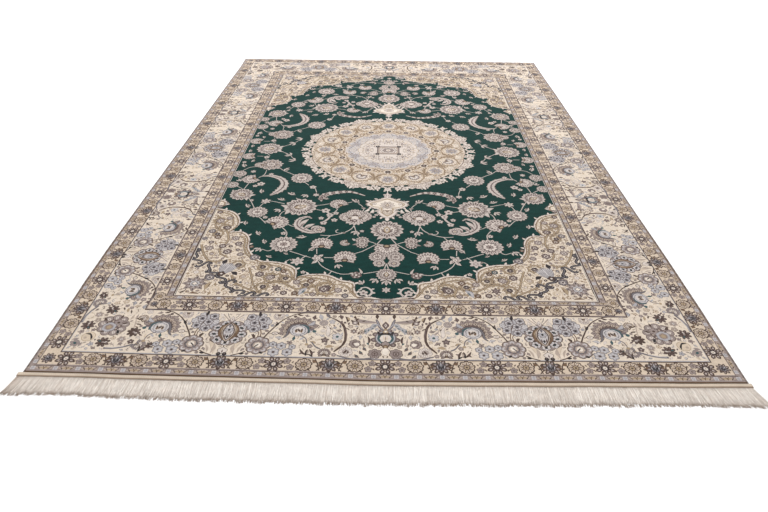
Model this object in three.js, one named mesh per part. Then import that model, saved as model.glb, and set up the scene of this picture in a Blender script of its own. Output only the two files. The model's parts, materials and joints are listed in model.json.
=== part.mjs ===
// A knotted rug with a pile, overcast sides, a flat-woven band at each end and one fringe.
// Millimetres. +Z is up, +X to the right and +Y from the fringed end to the far end.
// The origin is on the underside, at the centre of the pile.

import * as THREE from 'three';

// The pile, with its foundation in the same solid
const PILE_WIDTH = 2000;
const PILE_LENGTH = 3000;
const PILE_THICKNESS = 8;
const PILE_SHOULDER = 1.5;

// The clearance between pieces that meet
const GAP = 0.3;

// The overcast cord along each long side
const SELVEDGE_WIDTH = 6;
const SELVEDGE_HEIGHT = 7;

// The flat-woven band at the fringed end, rolled over at its outer edge
const KILIM_NEAR_WIDTH = 15;
const KILIM_NEAR_THICKNESS = 4.5;
const KILIM_PAST_LEFT = 18;
const KILIM_PAST_RIGHT = 13;

// The narrow band at the far end, where the warp ends are turned back
const KILIM_FAR_WIDTH = 8;
const KILIM_FAR_THICKNESS = 4;

// The fringe, as one comb of locks
const FRINGE_THICKNESS = 3;
const FRINGE_SPINE = 6;
const LOCK_COUNT = 116;
const LOCK_SLIT = 1.2;
const LOCK_LENGTH = 56;
const LOCK_TIP_TAPER = 0.22;
const LOCK_TIP_POINT = 3;

// How far apart the outline's points are
const STEP = 60;

// How far each edge stands out of the straight line between the pile's corners
const NEAR_BULGE = [
    { at: -1000, out: 0 },
    { at: -850, out: 1 },
    { at: -700, out: 5 },
    { at: -500, out: 7.5 },
    { at: -290, out: 10 },
    { at: 0, out: 14.5 },
    { at: 200, out: 12.5 },
    { at: 400, out: 9.5 },
    { at: 600, out: 6 },
    { at: 800, out: 4 },
    { at: 1000, out: 0 },
];
const FAR_BULGE = [
    { at: -1000, out: 0 },
    { at: 0, out: 1.5 },
    { at: 1000, out: 0 },
];
const LEFT_BULGE = [
    { at: -1500, out: 0 },
    { at: -1350, out: 2 },
    { at: -1200, out: 5 },
    { at: -1050, out: 9 },
    { at: -850, out: 11 },
    { at: -530, out: 9 },
    { at: -250, out: 7 },
    { at: 100, out: 4.5 },
    { at: 500, out: 2 },
    { at: 1000, out: 0 },
    { at: 1300, out: -3 },
    { at: 1500, out: 0 },
];
const RIGHT_BULGE = [
    { at: -1500, out: 0 },
    { at: -1350, out: 1.5 },
    { at: -1150, out: 5.5 },
    { at: -870, out: 7 },
    { at: -500, out: 5 },
    { at: 0, out: 5.5 },
    { at: 700, out: 5 },
    { at: 1300, out: 1 },
    { at: 1500, out: 0 },
];

// How far a lock's tip leans sideways from its root, and how much longer it is than the rest
const LOCK_LEAN = [
    { at: -1020, out: -17 },
    { at: -960, out: -9 },
    { at: -860, out: -3 },
    { at: -500, out: 1 },
    { at: 0, out: -1 },
    { at: 500, out: 2 },
    { at: 860, out: 8 },
    { at: 960, out: 16 },
    { at: 1020, out: 26 },
];
const LOCK_EXTRA = [
    { at: -1020, out: 0 },
    { at: -900, out: -1 },
    { at: -700, out: 2 },
    { at: -300, out: 5 },
    { at: 0, out: 3 },
    { at: 400, out: 2 },
    { at: 800, out: 0 },
    { at: 1020, out: 4 },
];
const LOCK_RAGGED = [0, 2.5, -1.5, 1, 3.5, -2.5, 1.5, -0.5, 2, -3, 0.5];

// The value of a table at a place, eased from one row to the next
function along(table, at) {
    if (at <= table[0].at) return table[0].out;
    for (let i = 1; i < table.length; i += 1) {
        const low = table[i - 1];
        const high = table[i];
        if (at > high.at) continue;
        const t = (at - low.at) / (high.at - low.at);
        return low.out + (high.out - low.out) * t * t * (3 - 2 * t);
    }
    return table[table.length - 1].out;
}

// Evenly spaced places from one end to the other, both included
function places(from, to, step) {
    const count = Math.max(1, Math.round(Math.abs(to - from) / step));
    return Array.from({ length: count + 1 }, (_, i) => from + ((to - from) * i) / count);
}

// A closed mesh from rings of points, one ring after the other, with flat ends.
// Each ring runs anticlockwise as seen from the side that the rings go towards.
function loft(rings, outline) {
    const size = rings[0].length;
    const index = [];
    for (let r = 0; r + 1 < rings.length; r += 1) {
        for (let i = 0; i < size; i += 1) {
            const a = r * size + i;
            const b = r * size + ((i + 1) % size);
            index.push(a, b, b + size);
            index.push(a, b + size, a + size);
        }
    }
    const last = (rings.length - 1) * size;
    for (const [a, b, c] of THREE.ShapeUtils.triangulateShape(outline, [])) {
        index.push(a, c, b);
        index.push(last + a, last + b, last + c);
    }
    const geometry = new THREE.BufferGeometry();
    geometry.setAttribute('position', new THREE.Float32BufferAttribute(rings.flat(2), 3));
    geometry.setIndex(index);
    geometry.computeVertexNormals();
    return geometry;
}

const NEAR_EDGE = -PILE_LENGTH / 2;
const FAR_EDGE = PILE_LENGTH / 2;
const SIDE_EDGE = PILE_WIDTH / 2;

const nearEdge = (x) => NEAR_EDGE - along(NEAR_BULGE, x);
const farEdge = (x) => FAR_EDGE + along(FAR_BULGE, x);
const leftEdge = (y) => -SIDE_EDGE - along(LEFT_BULGE, y);
const rightEdge = (y) => SIDE_EDGE + along(RIGHT_BULGE, y);

// The pile's outline, anticlockwise from above
function pileOutline() {
    const near = places(-SIDE_EDGE, SIDE_EDGE, STEP).map((x) => new THREE.Vector2(x, nearEdge(x)));
    const right = places(NEAR_EDGE, FAR_EDGE, STEP).map((y) => new THREE.Vector2(rightEdge(y), y));
    const far = places(SIDE_EDGE, -SIDE_EDGE, STEP).map((x) => new THREE.Vector2(x, farEdge(x)));
    const left = places(FAR_EDGE, NEAR_EDGE, STEP).map((y) => new THREE.Vector2(leftEdge(y), y));
    return [near, right, far, left].flatMap((run) => run.slice(0, -1));
}

// The slab of pile and foundation, a little narrower at its top
function pileGeometry() {
    const outline = pileOutline();
    const shrink = new THREE.Vector2(1 - PILE_SHOULDER / SIDE_EDGE, 1 - PILE_SHOULDER / FAR_EDGE);
    const top = outline.map((p) => p.clone().multiply(shrink));
    const rings = [
        outline.map((p) => [p.x, p.y, 0]),
        outline.map((p) => [p.x, p.y, PILE_THICKNESS - PILE_SHOULDER]),
        top.map((p) => [p.x, p.y, PILE_THICKNESS]),
    ];
    return loft(rings, outline);
}

// A strip's section as fractions of its width and thickness, flat beneath and rounded on top
const STRIP_SECTION = [
    new THREE.Vector2(0, 0),
    new THREE.Vector2(0.88, 0),
    new THREE.Vector2(1, 0.25),
    new THREE.Vector2(1, 0.62),
    new THREE.Vector2(0.84, 0.94),
    new THREE.Vector2(0.6, 1),
    new THREE.Vector2(0.16, 1),
    new THREE.Vector2(0, 0.8),
];

// A side cord, from the near end to the far end; side is -1 on the left and 1 on the right
function selvedgeGeometry(side, edge) {
    const rings = places(NEAR_EDGE, FAR_EDGE, STEP).map((y) => {
        const inner = edge(y) + side * GAP;
        const out = (p) => inner + side * p.x * SELVEDGE_WIDTH;
        const points = STRIP_SECTION.map((p) => [out(p), y, p.y * SELVEDGE_HEIGHT]);
        return side > 0 ? points.reverse() : points;
    });
    const outline = STRIP_SECTION.map((p) => new THREE.Vector2(-side * p.x, p.y));
    if (side > 0) outline.reverse();
    return loft(rings, outline);
}

// A band across one end; side is -1 at the near end and 1 at the far end
function kilimGeometry(side, edge, run, width, thickness) {
    const rings = run.map((x) => {
        const inner = edge(x) + side * GAP;
        const points = STRIP_SECTION.map((p) => [x, inner + side * p.x * width, p.y * thickness]);
        return side < 0 ? points.reverse() : points;
    });
    const outline = STRIP_SECTION.map((p) => new THREE.Vector2(side * p.x, p.y));
    if (side < 0) outline.reverse();
    return loft(rings, outline);
}

const KILIM_LEFT = -SIDE_EDGE - KILIM_PAST_LEFT;
const KILIM_RIGHT = SIDE_EDGE + KILIM_PAST_RIGHT;
const FAR_RUN = places(-SIDE_EDGE, SIDE_EDGE, STEP);
const NEAR_RUN = [KILIM_LEFT, ...FAR_RUN, KILIM_RIGHT];

// The comb of locks: a spine along the band, and a tapered lock at each step
function fringeGeometry() {
    const root = (x) => nearEdge(x) - GAP - KILIM_NEAR_WIDTH - GAP;
    const pitch = (KILIM_RIGHT - KILIM_LEFT) / LOCK_COUNT;
    const back = NEAR_RUN.map((x) => new THREE.Vector2(x, root(x))).reverse();
    const front = [];
    for (let i = 0; i < LOCK_COUNT; i += 1) {
        const x0 = KILIM_LEFT + i * pitch + (i > 0 ? LOCK_SLIT / 2 : 0);
        const x1 = KILIM_LEFT + (i + 1) * pitch - (i + 1 < LOCK_COUNT ? LOCK_SLIT / 2 : 0);
        const middle = (x0 + x1) / 2;
        const length = LOCK_LENGTH + along(LOCK_EXTRA, middle) + LOCK_RAGGED[i % LOCK_RAGGED.length];
        const tip = root(middle) - FRINGE_SPINE - length;
        const taper = ((x1 - x0) * LOCK_TIP_TAPER) / 2;
        front.push(new THREE.Vector2(x0, root(x0) - FRINGE_SPINE));
        front.push(new THREE.Vector2(x0 + taper + along(LOCK_LEAN, x0), tip));
        front.push(new THREE.Vector2(middle + along(LOCK_LEAN, middle), tip - LOCK_TIP_POINT));
        front.push(new THREE.Vector2(x1 - taper + along(LOCK_LEAN, x1), tip));
        front.push(new THREE.Vector2(x1, root(x1) - FRINGE_SPINE));
    }
    const outline = [...front, ...back];
    const rings = [0, FRINGE_THICKNESS].map((z) => outline.map((p) => [p.x, p.y, z]));
    return loft(rings, outline);
}

const wool = new THREE.MeshStandardMaterial({ color: 0x24504a, roughness: 0.95, metalness: 0 });
const overcast = new THREE.MeshStandardMaterial({ color: 0x5a4a44, roughness: 0.9, metalness: 0 });
const cotton = new THREE.MeshStandardMaterial({ color: 0xd8c6a6, roughness: 0.9, metalness: 0 });
const strands = new THREE.MeshStandardMaterial({ color: 0xe2dcd2, roughness: 0.85, metalness: 0 });

function piece(name, geometry, material) {
    const mesh = new THREE.Mesh(geometry, material);
    mesh.name = name;
    return mesh;
}

const nearBand = kilimGeometry(-1, nearEdge, NEAR_RUN, KILIM_NEAR_WIDTH, KILIM_NEAR_THICKNESS);
const farBand = kilimGeometry(1, farEdge, FAR_RUN, KILIM_FAR_WIDTH, KILIM_FAR_THICKNESS);

const rug = new THREE.Group();
rug.add(
    piece('rug_pile', pileGeometry(), wool),
    piece('selvedge_left', selvedgeGeometry(-1, leftEdge), overcast),
    piece('selvedge_right', selvedgeGeometry(1, rightEdge), overcast),
    piece('kilim_near', nearBand, cotton),
    piece('kilim_far', farBand, cotton),
    piece('fringe_near', fringeGeometry(), strands),
);

export default rug;
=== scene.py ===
"""A Persian rug with a medallion, lying flat: knotted pile, overcast sides, flat-woven ends and one fringe.

Metres, +Z up, +Y from the fringed end to the far end. The pattern is drawn in millimetres for one quarter of
the rug, measured from its left edge and its near end, and mirrored about both middle lines.
"""

import json
import math

import bpy
import numpy as np
from mathutils import Matrix
from mathutils.geometry import delaunay_2d_cdt

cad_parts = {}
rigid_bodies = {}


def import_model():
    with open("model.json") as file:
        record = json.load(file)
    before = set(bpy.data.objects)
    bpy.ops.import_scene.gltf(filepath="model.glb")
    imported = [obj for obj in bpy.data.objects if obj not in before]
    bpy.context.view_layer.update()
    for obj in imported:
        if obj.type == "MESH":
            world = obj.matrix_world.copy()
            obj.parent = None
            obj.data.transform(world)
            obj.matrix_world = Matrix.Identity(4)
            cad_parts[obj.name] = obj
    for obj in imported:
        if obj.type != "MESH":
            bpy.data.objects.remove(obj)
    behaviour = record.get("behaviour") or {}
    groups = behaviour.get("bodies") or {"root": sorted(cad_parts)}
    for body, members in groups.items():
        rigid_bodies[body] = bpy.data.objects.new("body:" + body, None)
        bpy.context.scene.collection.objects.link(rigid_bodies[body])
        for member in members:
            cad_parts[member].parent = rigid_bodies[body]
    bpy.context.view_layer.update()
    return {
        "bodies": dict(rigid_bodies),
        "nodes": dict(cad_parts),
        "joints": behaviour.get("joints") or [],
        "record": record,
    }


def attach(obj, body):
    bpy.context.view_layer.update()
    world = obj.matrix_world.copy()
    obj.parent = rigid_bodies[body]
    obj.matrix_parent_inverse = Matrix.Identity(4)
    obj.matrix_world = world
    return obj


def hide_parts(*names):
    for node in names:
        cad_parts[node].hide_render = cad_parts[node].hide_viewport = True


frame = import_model()
rng = np.random.default_rng(7)

MM = 0.001
HALF_WIDTH, HALF_LENGTH = 1000, 1500
PILE_TOP, FOUNDATION_TOP = 8.0, 3.0
GAP = 0.3
SELVEDGE_WIDTH, SELVEDGE_HEIGHT = 6.0, 7.0
KILIM_NEAR_WIDTH, KILIM_NEAR_THICKNESS, KILIM_PAST = 15.0, 4.5, (18.0, 13.0)
KILIM_FAR_WIDTH, KILIM_FAR_THICKNESS = 8.0, 4.0
FRINGE_LENGTH = 66.5

# How far each edge stands out of the straight line between the pile's corners: place, distance
NEAR_BULGE = [(-1000, 0), (-850, 1), (-700, 5), (-500, 7.5), (-290, 10), (0, 14.5), (200, 12.5), (400, 9.5), (600, 6), (800, 4), (1000, 0)]
FAR_BULGE = [(-1000, 0), (0, 1.5), (1000, 0)]
LEFT_BULGE = [(-1500, 0), (-1350, 2), (-1200, 5), (-1050, 9), (-850, 11), (-530, 9), (-250, 7), (100, 4.5), (500, 2), (1000, 0), (1300, -3), (1500, 0)]
RIGHT_BULGE = [(-1500, 0), (-1350, 1.5), (-1150, 5.5), (-870, 7), (-500, 5), (0, 5.5), (700, 5), (1300, 1), (1500, 0)]
# How far the fringe's ends lean sideways, and how much longer than usual it is, along the near end
LEAN = [(-1020, -17), (-960, -9), (-860, -3), (-500, 1), (0, -1), (500, 2), (860, 8), (960, 16), (1020, 26)]
EXTRA = [(-1020, 0), (-900, -1), (-700, 2), (-300, 5), (0, 3), (400, 2), (800, 0), (1020, 4)]


def along(table, at):
    """A table's value at each place, eased from one row to the next."""
    at = np.clip(at, table[0][0], table[-1][0])
    places = np.array([row[0] for row in table], float)
    values = np.array([row[1] for row in table], float)
    i = np.clip(np.searchsorted(places, at) - 1, 0, len(table) - 2)
    t = (at - places[i]) / (places[i + 1] - places[i])
    return values[i] + (values[i + 1] - values[i]) * t * t * (3 - 2 * t)


# The camera, where the photograph's was: 1.2 m above the rug and 1.15 m in front of its near end
EYE = (-0.001, -2.654, 1.205)
YAW, PITCH, ROLL = math.radians(-0.29), math.radians(34.47), math.radians(0.71)
LENS, SENSOR = 27.57, 36.0


def make_camera():
    forward = np.array([math.sin(YAW) * math.cos(PITCH), math.cos(YAW) * math.cos(PITCH), -math.sin(PITCH)])
    right = np.array([math.cos(YAW), -math.sin(YAW), 0.0])
    up = np.cross(right, forward)
    tilted = math.cos(ROLL) * right + math.sin(ROLL) * up
    top = -math.sin(ROLL) * right + math.cos(ROLL) * up
    data = bpy.data.cameras.new("camera")
    data.lens, data.sensor_width = LENS, SENSOR
    data.clip_start, data.clip_end = 0.02, 60
    camera = bpy.data.objects.new("camera", data)
    turn = Matrix(np.array([tilted, top, -forward]).T.tolist()).to_4x4()
    camera.matrix_world = Matrix.Translation(EYE) @ turn
    bpy.context.scene.collection.objects.link(camera)
    bpy.context.scene.camera = camera


make_camera()


# The drawing kit. A drawing is a list of (yarn, outline) in millimetres, later ones on top.

LINE = 2.0  # an outline's width


def smooth(points, closed=False, spans=5):
    """Points on a rounded curve through the given ones."""
    p = np.asarray(points, float)
    n = len(p)
    if closed:
        p = np.vstack([p[-1], p, p[:2]])
    else:
        p = np.vstack([2 * p[0] - p[1], p, 2 * p[-1] - p[-2]])
        n -= 1
    t = np.linspace(0, 1, spans, endpoint=False)[:, None]
    out = []
    for a, b, c, d in (p[i : i + 4] for i in range(n)):
        out.append(
            0.5 * (2 * b + (c - a) * t + (2 * a - 5 * b + 4 * c - d) * t**2 + (3 * b - a - 3 * c + d) * t**3)
        )
    if not closed:
        out.append(p[-2:-1])
    return np.vstack(out)


def place(shapes, x=0.0, y=0.0, turn=0.0, size=1.0, flip=False):
    """A drawing turned by degrees, scaled and moved; flip mirrors it left to right first."""
    c, s = math.cos(math.radians(turn)) * size, math.sin(math.radians(turn)) * size
    m = np.array([[c, s], [-s, c]])
    if flip:
        m = np.array([[-1, 0], [0, 1]]) @ m
    return [(yarn, pts @ m + (x, y)) for yarn, pts in shapes]


def both(shapes):
    """A drawing and its mirror image about the upright axis."""
    return shapes + place(shapes, flip=True)


def oval(yarn, rx, ry=None, at=(0, 0), turn=0.0, ink=None, line=LINE, n=None):
    ry = rx if ry is None else ry
    n = n or int(np.clip(6 + max(rx, ry) * 0.7, 8, 40))
    a = np.arange(n) * 2 * math.pi / n
    shape = lambda g: np.c_[(rx + g) * np.cos(a), (ry + g) * np.sin(a)]
    rows = ([(ink, shape(line))] if ink else []) + [(yarn, shape(0))]
    return place(rows, *at, turn)


def lobed(yarn, count, tip, notch, at=(0, 0), turn=0.0, ink=None, line=LINE, power=0.6, squash=1.0):
    """A round outline of petals; power is under 1 for round petals and over 1 for pointed ones."""
    per = 6 if tip > 14 else 4
    a = np.arange(count * per) * 2 * math.pi / (count * per)
    wave = np.abs(np.cos(count * a / 2)) ** power
    shape = lambda g: (notch + g + (tip - notch) * wave)[:, None] * np.c_[np.sin(a), squash * np.cos(a)]
    rows = ([(ink, shape(line))] if ink else []) + [(yarn, shape(0))]
    return place(rows, *at, turn)


def leaf(yarn, start, end, width, bend=0.0, ink=None, line=LINE, n=6, belly=0.5):
    """A leaf from start to end, bent sideways by a share of its length; belly is where it is widest."""
    a, b = np.asarray(start, float), np.asarray(end, float)
    along = b - a
    side = np.array([-along[1], along[0]])
    length = np.hypot(*along)
    t = np.linspace(0, 1, n + 1)
    bow = 4 * bend * t * (1 - t)
    spine = a + t[:, None] * along + bow[:, None] * side
    s = t ** (math.log(0.5) / math.log(belly))
    w = np.sin(math.pi * s) ** 0.85
    nrm = side / length

    def shape(g):
        half = (w * (width / 2 + g))[:, None] * nrm
        tip = along / length * g * 1.6
        body = spine.copy()
        body[0] -= tip
        body[-1] += tip
        return np.vstack([body[:1], (spine + half)[1:-1], body[-1:], (spine - half)[1:-1][::-1]])

    return ([(ink, shape(line))] if ink else []) + [(yarn, shape(0))]


def stroke(yarn, path, width, end_width=None, ink=None, line=LINE, spans=5, closed=False):
    """A line along a rounded path, as a row of four-sided shapes; its width may change to its end."""
    p = smooth(path, closed, spans)
    if closed:
        p = np.vstack([p, p[:1]])
    d = np.gradient(p, axis=0)
    d /= np.maximum(np.hypot(d[:, 0], d[:, 1]), 1e-9)[:, None]
    nrm = np.c_[-d[:, 1], d[:, 0]]
    w = np.linspace(width, width if end_width is None else end_width, len(p)) / 2

    def strip(name, g):
        a, b = p + nrm * (w + g)[:, None], p - nrm * (w + g)[:, None]
        return [(name, np.array([a[i], b[i], b[i + 1], a[i + 1]])) for i in range(len(p) - 1)]

    return (strip(ink, line) if ink else []) + strip(yarn, 0)


def sickle(yarn, path, widths, ink=None, line=LINE, spans=5):
    """A leaf along a curved path, with its width at each point of the path."""
    p = smooth(path, False, spans)
    d = np.gradient(p, axis=0)
    d /= np.maximum(np.hypot(d[:, 0], d[:, 1]), 1e-9)[:, None]
    nrm = np.c_[-d[:, 1], d[:, 0]]
    w = np.interp(np.linspace(0, 1, len(p)), np.linspace(0, 1, len(widths)), widths) / 2

    def strip(name, g):
        h = (w + g)[:, None]
        a, b = p + nrm * h, p - nrm * h
        return [(name, np.array([a[i], b[i], b[i + 1], a[i + 1]])) for i in range(len(p) - 1)]

    return (strip(ink, line) if ink else []) + strip(yarn, 0)


def spokes(yarn, count, inner, outer, width, turn=0.0, at=(0, 0)):
    rows = []
    for k in range(count):
        a = math.radians(turn) + (k + 0.5) * 2 * math.pi / count
        way, across = np.array([math.sin(a), math.cos(a)]), np.array([math.cos(a), -math.sin(a)])
        half = across * width / 2
        rows.append((yarn, np.array([way * inner - half, way * outer - half, way * outer + half, way * inner + half])))
    return place(rows, *at)


def around(shapes, count, turn=0.0):
    """Copies of a drawing turned about the centre."""
    return [row for k in range(count) for row in place(shapes, turn=turn + 360 * k / count)]


def polar(degrees, r):
    """A place by its angle from the upright axis and its distance."""
    a = math.radians(degrees)
    return (r * math.sin(a), r * math.cos(a))


def wedge(yarn, low, high, first, last):
    """Part of a ring between two distances and two angles."""
    angles = np.linspace(first, last, 9)
    return [(yarn, np.array([polar(a, high) for a in angles] + [polar(a, low) for a in angles[::-1]]))]


def block(yarn, x0, y0, x1, y1):
    return [(yarn, np.array([[x0, y0], [x1, y0], [x1, y1], [x0, y1]], float))]


def painted(rows, spots):
    """The index of the topmost shape over each spot, the first shape being everywhere."""
    order = np.argsort(spots[:, 0])
    x, y = spots[order, 0], spots[order, 1]
    on_top = np.zeros(len(spots), int)
    for k, (_, p) in enumerate(rows[1:], 1):
        low, high = p.min(0), p.max(0)
        i, j = np.searchsorted(x, (low[0], high[0]))
        near = i + np.flatnonzero((y[i:j] > low[1]) & (y[i:j] < high[1]))
        if len(near) == 0:
            continue
        u, v = x[near, None], y[near, None]
        a, b = p, np.roll(p, -1, 0)
        rise = np.where(a[:, 1] == b[:, 1], 1.0, b[:, 1] - a[:, 1])
        cross = ((a[:, 1] > v) != (b[:, 1] > v)) & (u < a[:, 0] + (v - a[:, 1]) * (b[:, 0] - a[:, 0]) / rise)
        on_top[near[cross.sum(1) % 2 == 1]] = k
    found = np.zeros(len(spots), int)
    found[order] = on_top
    return found


def sprinkle(rows, ground, low, high, kinds, seed, least=4.2, most=13.0, gap=2.2):
    """Small things for a drawing's free ground, which is the shape of that number or, for 0, what no shape covers."""
    pick = np.random.default_rng(seed)
    step = 2.5
    u, v = np.meshgrid(np.arange(low[0], high[0] + step, step), np.arange(low[1], high[1] + step, step))
    spots = np.c_[u.ravel(), v.ravel()]
    busy = painted(block("green", low[0] - 9, low[1] - 9, high[0] + 9, high[1] + 9) + rows, spots) != ground
    edge = np.minimum.reduce([spots[:, 0] - low[0], high[0] - spots[:, 0], spots[:, 1] - low[1], high[1] - spots[:, 1]])
    clear = np.minimum(edge, most).reshape(u.shape)
    busy = busy.reshape(u.shape)
    reach = int(most / step)
    padded = np.pad(busy, reach)
    for i in range(-reach, reach + 1):
        for j in range(-reach, reach + 1):
            near = padded[reach + i : reach + i + u.shape[0], reach + j : reach + j + u.shape[1]]
            clear = np.where(near, np.minimum(clear, step * math.hypot(i, j)), clear)
    clear = clear.ravel()
    out = []
    while clear.max() > least + gap:
        best = np.flatnonzero(clear >= clear.max() * 0.93)
        spot = int(best[pick.integers(len(best))])
        r = clear[spot] - gap
        kind = kinds[int(pick.integers(len(kinds)))]
        out += place(kind(r, pick), spots[spot, 0], spots[spot, 1], pick.uniform(0, 360))
        clear = np.minimum(clear, np.hypot(*(spots - spots[spot]).T) - r)
    return out


# Flowers and leaves, each about its own centre and pointing up. r is the radius in millimetres.


def floret(r, petal="ivory", heart="plum", ink="umber", count=5):
    return lobed(petal, count, r, r * 0.62, ink=ink, line=1.8) + oval(heart, r * 0.32, n=6)


def star(r, body="ivory", ring="beige", ink="brown", points=6):
    rows = lobed(body, points, r, r * 0.5, ink=ink, line=1.9, power=1.5)
    return rows + lobed(ring, points, r * 0.48, r * 0.3, power=1.2) + lobed(body, points, r * 0.26, r * 0.18)


def rosette(r, petal="ivory", ring="mauve", heart="gold", ink="umber", count=8):
    rows = lobed(petal, count, r, r * 0.8, ink=ink, line=2.1) + spokes(ink, count, r * 0.4, r * 0.84, 1.1)
    if r > 12:
        rows += around(leaf(ring, (0, r * 0.5), (0, r * 0.88), r * 0.15, n=4), count)
    rows += lobed(ring, count, r * 0.5, r * 0.4, ink=ink, line=1.0)
    return rows + lobed(petal, count, r * 0.34, r * 0.27) + lobed(heart, 6, r * 0.2, r * 0.13)


def full(r, body="ivory", vein="mauve", ink="brown", count=16):
    """A round flower of many narrow petals in two rings."""
    rows = around(leaf(body, (0, r * 0.35), (0, r * 1.04), r * 0.34, 0, ink, 1.9, n=5, belly=0.7), count)
    rows += around(leaf(vein, (0, r * 0.5), (0, r * 0.92), r * 0.1, n=3), count)
    rows += lobed("plum", 10, r * 0.56, r * 0.48) + around(leaf("cream", (0, r * 0.16), (0, r * 0.54), r * 0.24, 0, vein, 1.1, n=4, belly=0.65), 10, 18)
    return rows + lobed("beige", 7, r * 0.24, r * 0.18, ink=ink, line=1.6) + oval("umber", r * 0.09, n=6)


def dark_star(r=21):
    rows = lobed("umber", 8, r, r * 0.62, ink=None, power=0.9)
    rows += spokes("ink", 8, r * 0.3, r * 0.85, 1.6, turn=22)
    rows += around(leaf("plum", (0, r * 0.35), (0, r * 0.92), r * 0.22), 8)
    rows += leaf("ivory", (-r * 0.14, r * 0.08), (-r * 0.1, r * 0.6), r * 0.22)
    return rows + leaf("teal", (r * 0.2, -r * 0.2), (r * 0.5, -r * 0.55), r * 0.3) + oval("mauve", r * 0.17)


def small_star(r=12, petal="mauve"):
    rows = lobed("beige", 6, r * 1.25, r * 0.9, power=0.9)
    return rows + lobed(petal, 6, r, r * 0.5, power=1.1) + oval("ivory", r * 0.34) + oval("teal", r * 0.16, n=5)


def trefoil(r=12, body="ivory", heart="plum", ink="brown"):
    rows = both(leaf(body, (0, -r * 0.8), (r * 1.15, r * 0.7), r * 0.52, -0.14, ink, 1.6) + leaf(heart, (r * 0.3, -r * 0.3), (r * 0.75, r * 0.3), r * 0.12, n=3))
    return rows + leaf(body, (0, -r * 1.1), (0, r * 1.2), r * 0.6, 0, ink, 1.6) + leaf(heart, (0, -r * 0.5), (0, r * 0.6), r * 0.22)


def dart(r):
    """A pointed leaf with barbs and a dark rib."""
    barbs = leaf("ivory", (0, -r * 0.5), (r * 0.56, r * 0.1), r * 0.26, -0.1, "brown", 1.4, n=4)
    rows = both(barbs + leaf("ivory", (0, 0), (r * 0.46, r * 0.64), r * 0.24, -0.1, "brown", 1.4, n=4))
    return rows + leaf("ivory", (0, -r), (0, r * 1.2), r * 0.5, 0.08, "brown", 1.5) + leaf("mauve", (0, -r * 0.6), (0, r * 0.7), r * 0.15, 0.08, n=4)


def petals(r, count, spread, inner, width, body, ink, vein=None, line=1.8, belly=0.68):
    """Pointed petals in a fan about the upright axis, the middle one on top."""
    rows = []
    angles = np.radians(np.linspace(-spread / 2, spread / 2, count))
    for a in sorted(angles, key=lambda a: -abs(a)):
        way = np.array([math.sin(a), math.cos(a)])
        rows += leaf(body, tuple(way * inner), tuple(way * r), width, 0, ink, line, n=5, belly=belly)
        if vein:
            rows += leaf(vein, tuple(way * (inner + (r - inner) * 0.3)), tuple(way * (inner + (r - inner) * 0.84)), width * 0.3, n=3)
    return rows


def lotus(r, body="ivory", stripe="mauve", cup="brown", ink="brown", tips=13):
    """An open flower seen from the side: two fans of pointed petals over a cup."""
    rows = both(leaf(body, (r * 0.1, -r * 0.55), (r * 0.86, -r * 0.8), r * 0.34, 0.16, ink, 1.9))
    rows += petals(r * 1.06, tips, 256, r * 0.2, r * 0.46, body, ink, stripe)
    rows += place(petals(r * 0.72, 7, 170, r * 0.06, r * 0.34, "cream", stripe, "beige"), 0, -r * 0.14)
    rows += leaf("beige", (0, -r * 0.5), (0, r * 0.3), r * 0.3, 0, ink, 1.9)
    rows += oval(cup, r * 0.34, r * 0.24, (0, -r * 0.42), ink="umber", line=1.0) + oval("gold", r * 0.2, r * 0.12, (0, -r * 0.46))
    return rows + spokes("umber", 5, r * 0.06, r * 0.24, 0.9, at=(0, -r * 0.44))


def palmette(r, body="ivory", ring="mauve", field="cream", heart="gold", ink="brown", lobes=15):
    """A round flower cut through, with a toothed ring of petals and a drop at its heart."""
    rows = around(leaf(body, (0, r * 0.5), (0, r * 1.08), r * 0.36, 0, ink, 2.0, n=5, belly=0.66), lobes, 180 / lobes)
    rows += around(leaf(ring, (0, r * 0.58), (0, r * 0.96), r * 0.13, n=4) + oval(ink, r * 0.035, at=(0, r * 0.9), n=5), lobes, 180 / lobes)
    rows += lobed(body, lobes, r * 0.68, r * 0.6, ink=ink, line=1.9) + around(oval(ring, r * 0.055, r * 0.09, (0, r * 0.6), n=6), lobes)
    rows += lobed(field, 9, r * 0.5, r * 0.43, ink="plum", line=2.1) + around(leaf(ring, (0, r * 0.24), (0, r * 0.44), r * 0.09, n=4), 9)
    rows += leaf(heart, (0, -r * 0.42), (0, r * 0.42), r * 0.42, 0, ink, 2.0)
    rows += leaf(field, (0, -r * 0.27), (0, r * 0.27), r * 0.2, 0, "umber", 0.9) + oval("umber", r * 0.05, r * 0.12, n=6)
    for side in (-1, 1):
        rows += leaf(ring, (0, -r * 0.44), (side * r * 0.34, r * 0.12), r * 0.12, -side * 0.15)
        rows += leaf(body, (0, -r * 0.9), (side * r * 0.62, -r * 1.16), r * 0.28, side * 0.2, ink, 1.9)
    return rows


def bunch(r, petal="ivory", heart="mauve", ink="brown"):
    """A mass of small flowers."""
    rows = around(leaf(petal, (0, r * 0.6), (0, r * 1.12), r * 0.26, 0, ink, 1.7), 7, 25)
    rows += around(place(rosette(r * 0.36, petal, heart, "gold", ink, 6), 0, r * 0.66), 7)
    rows += around(leaf(heart, (0, r * 0.3), (0, r * 0.58), r * 0.1, 0, ink, 0.9), 7, 25)
    return rows + place(rosette(r * 0.4, "cream", "plum", "umber", ink, 7), 0, 0)


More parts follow.
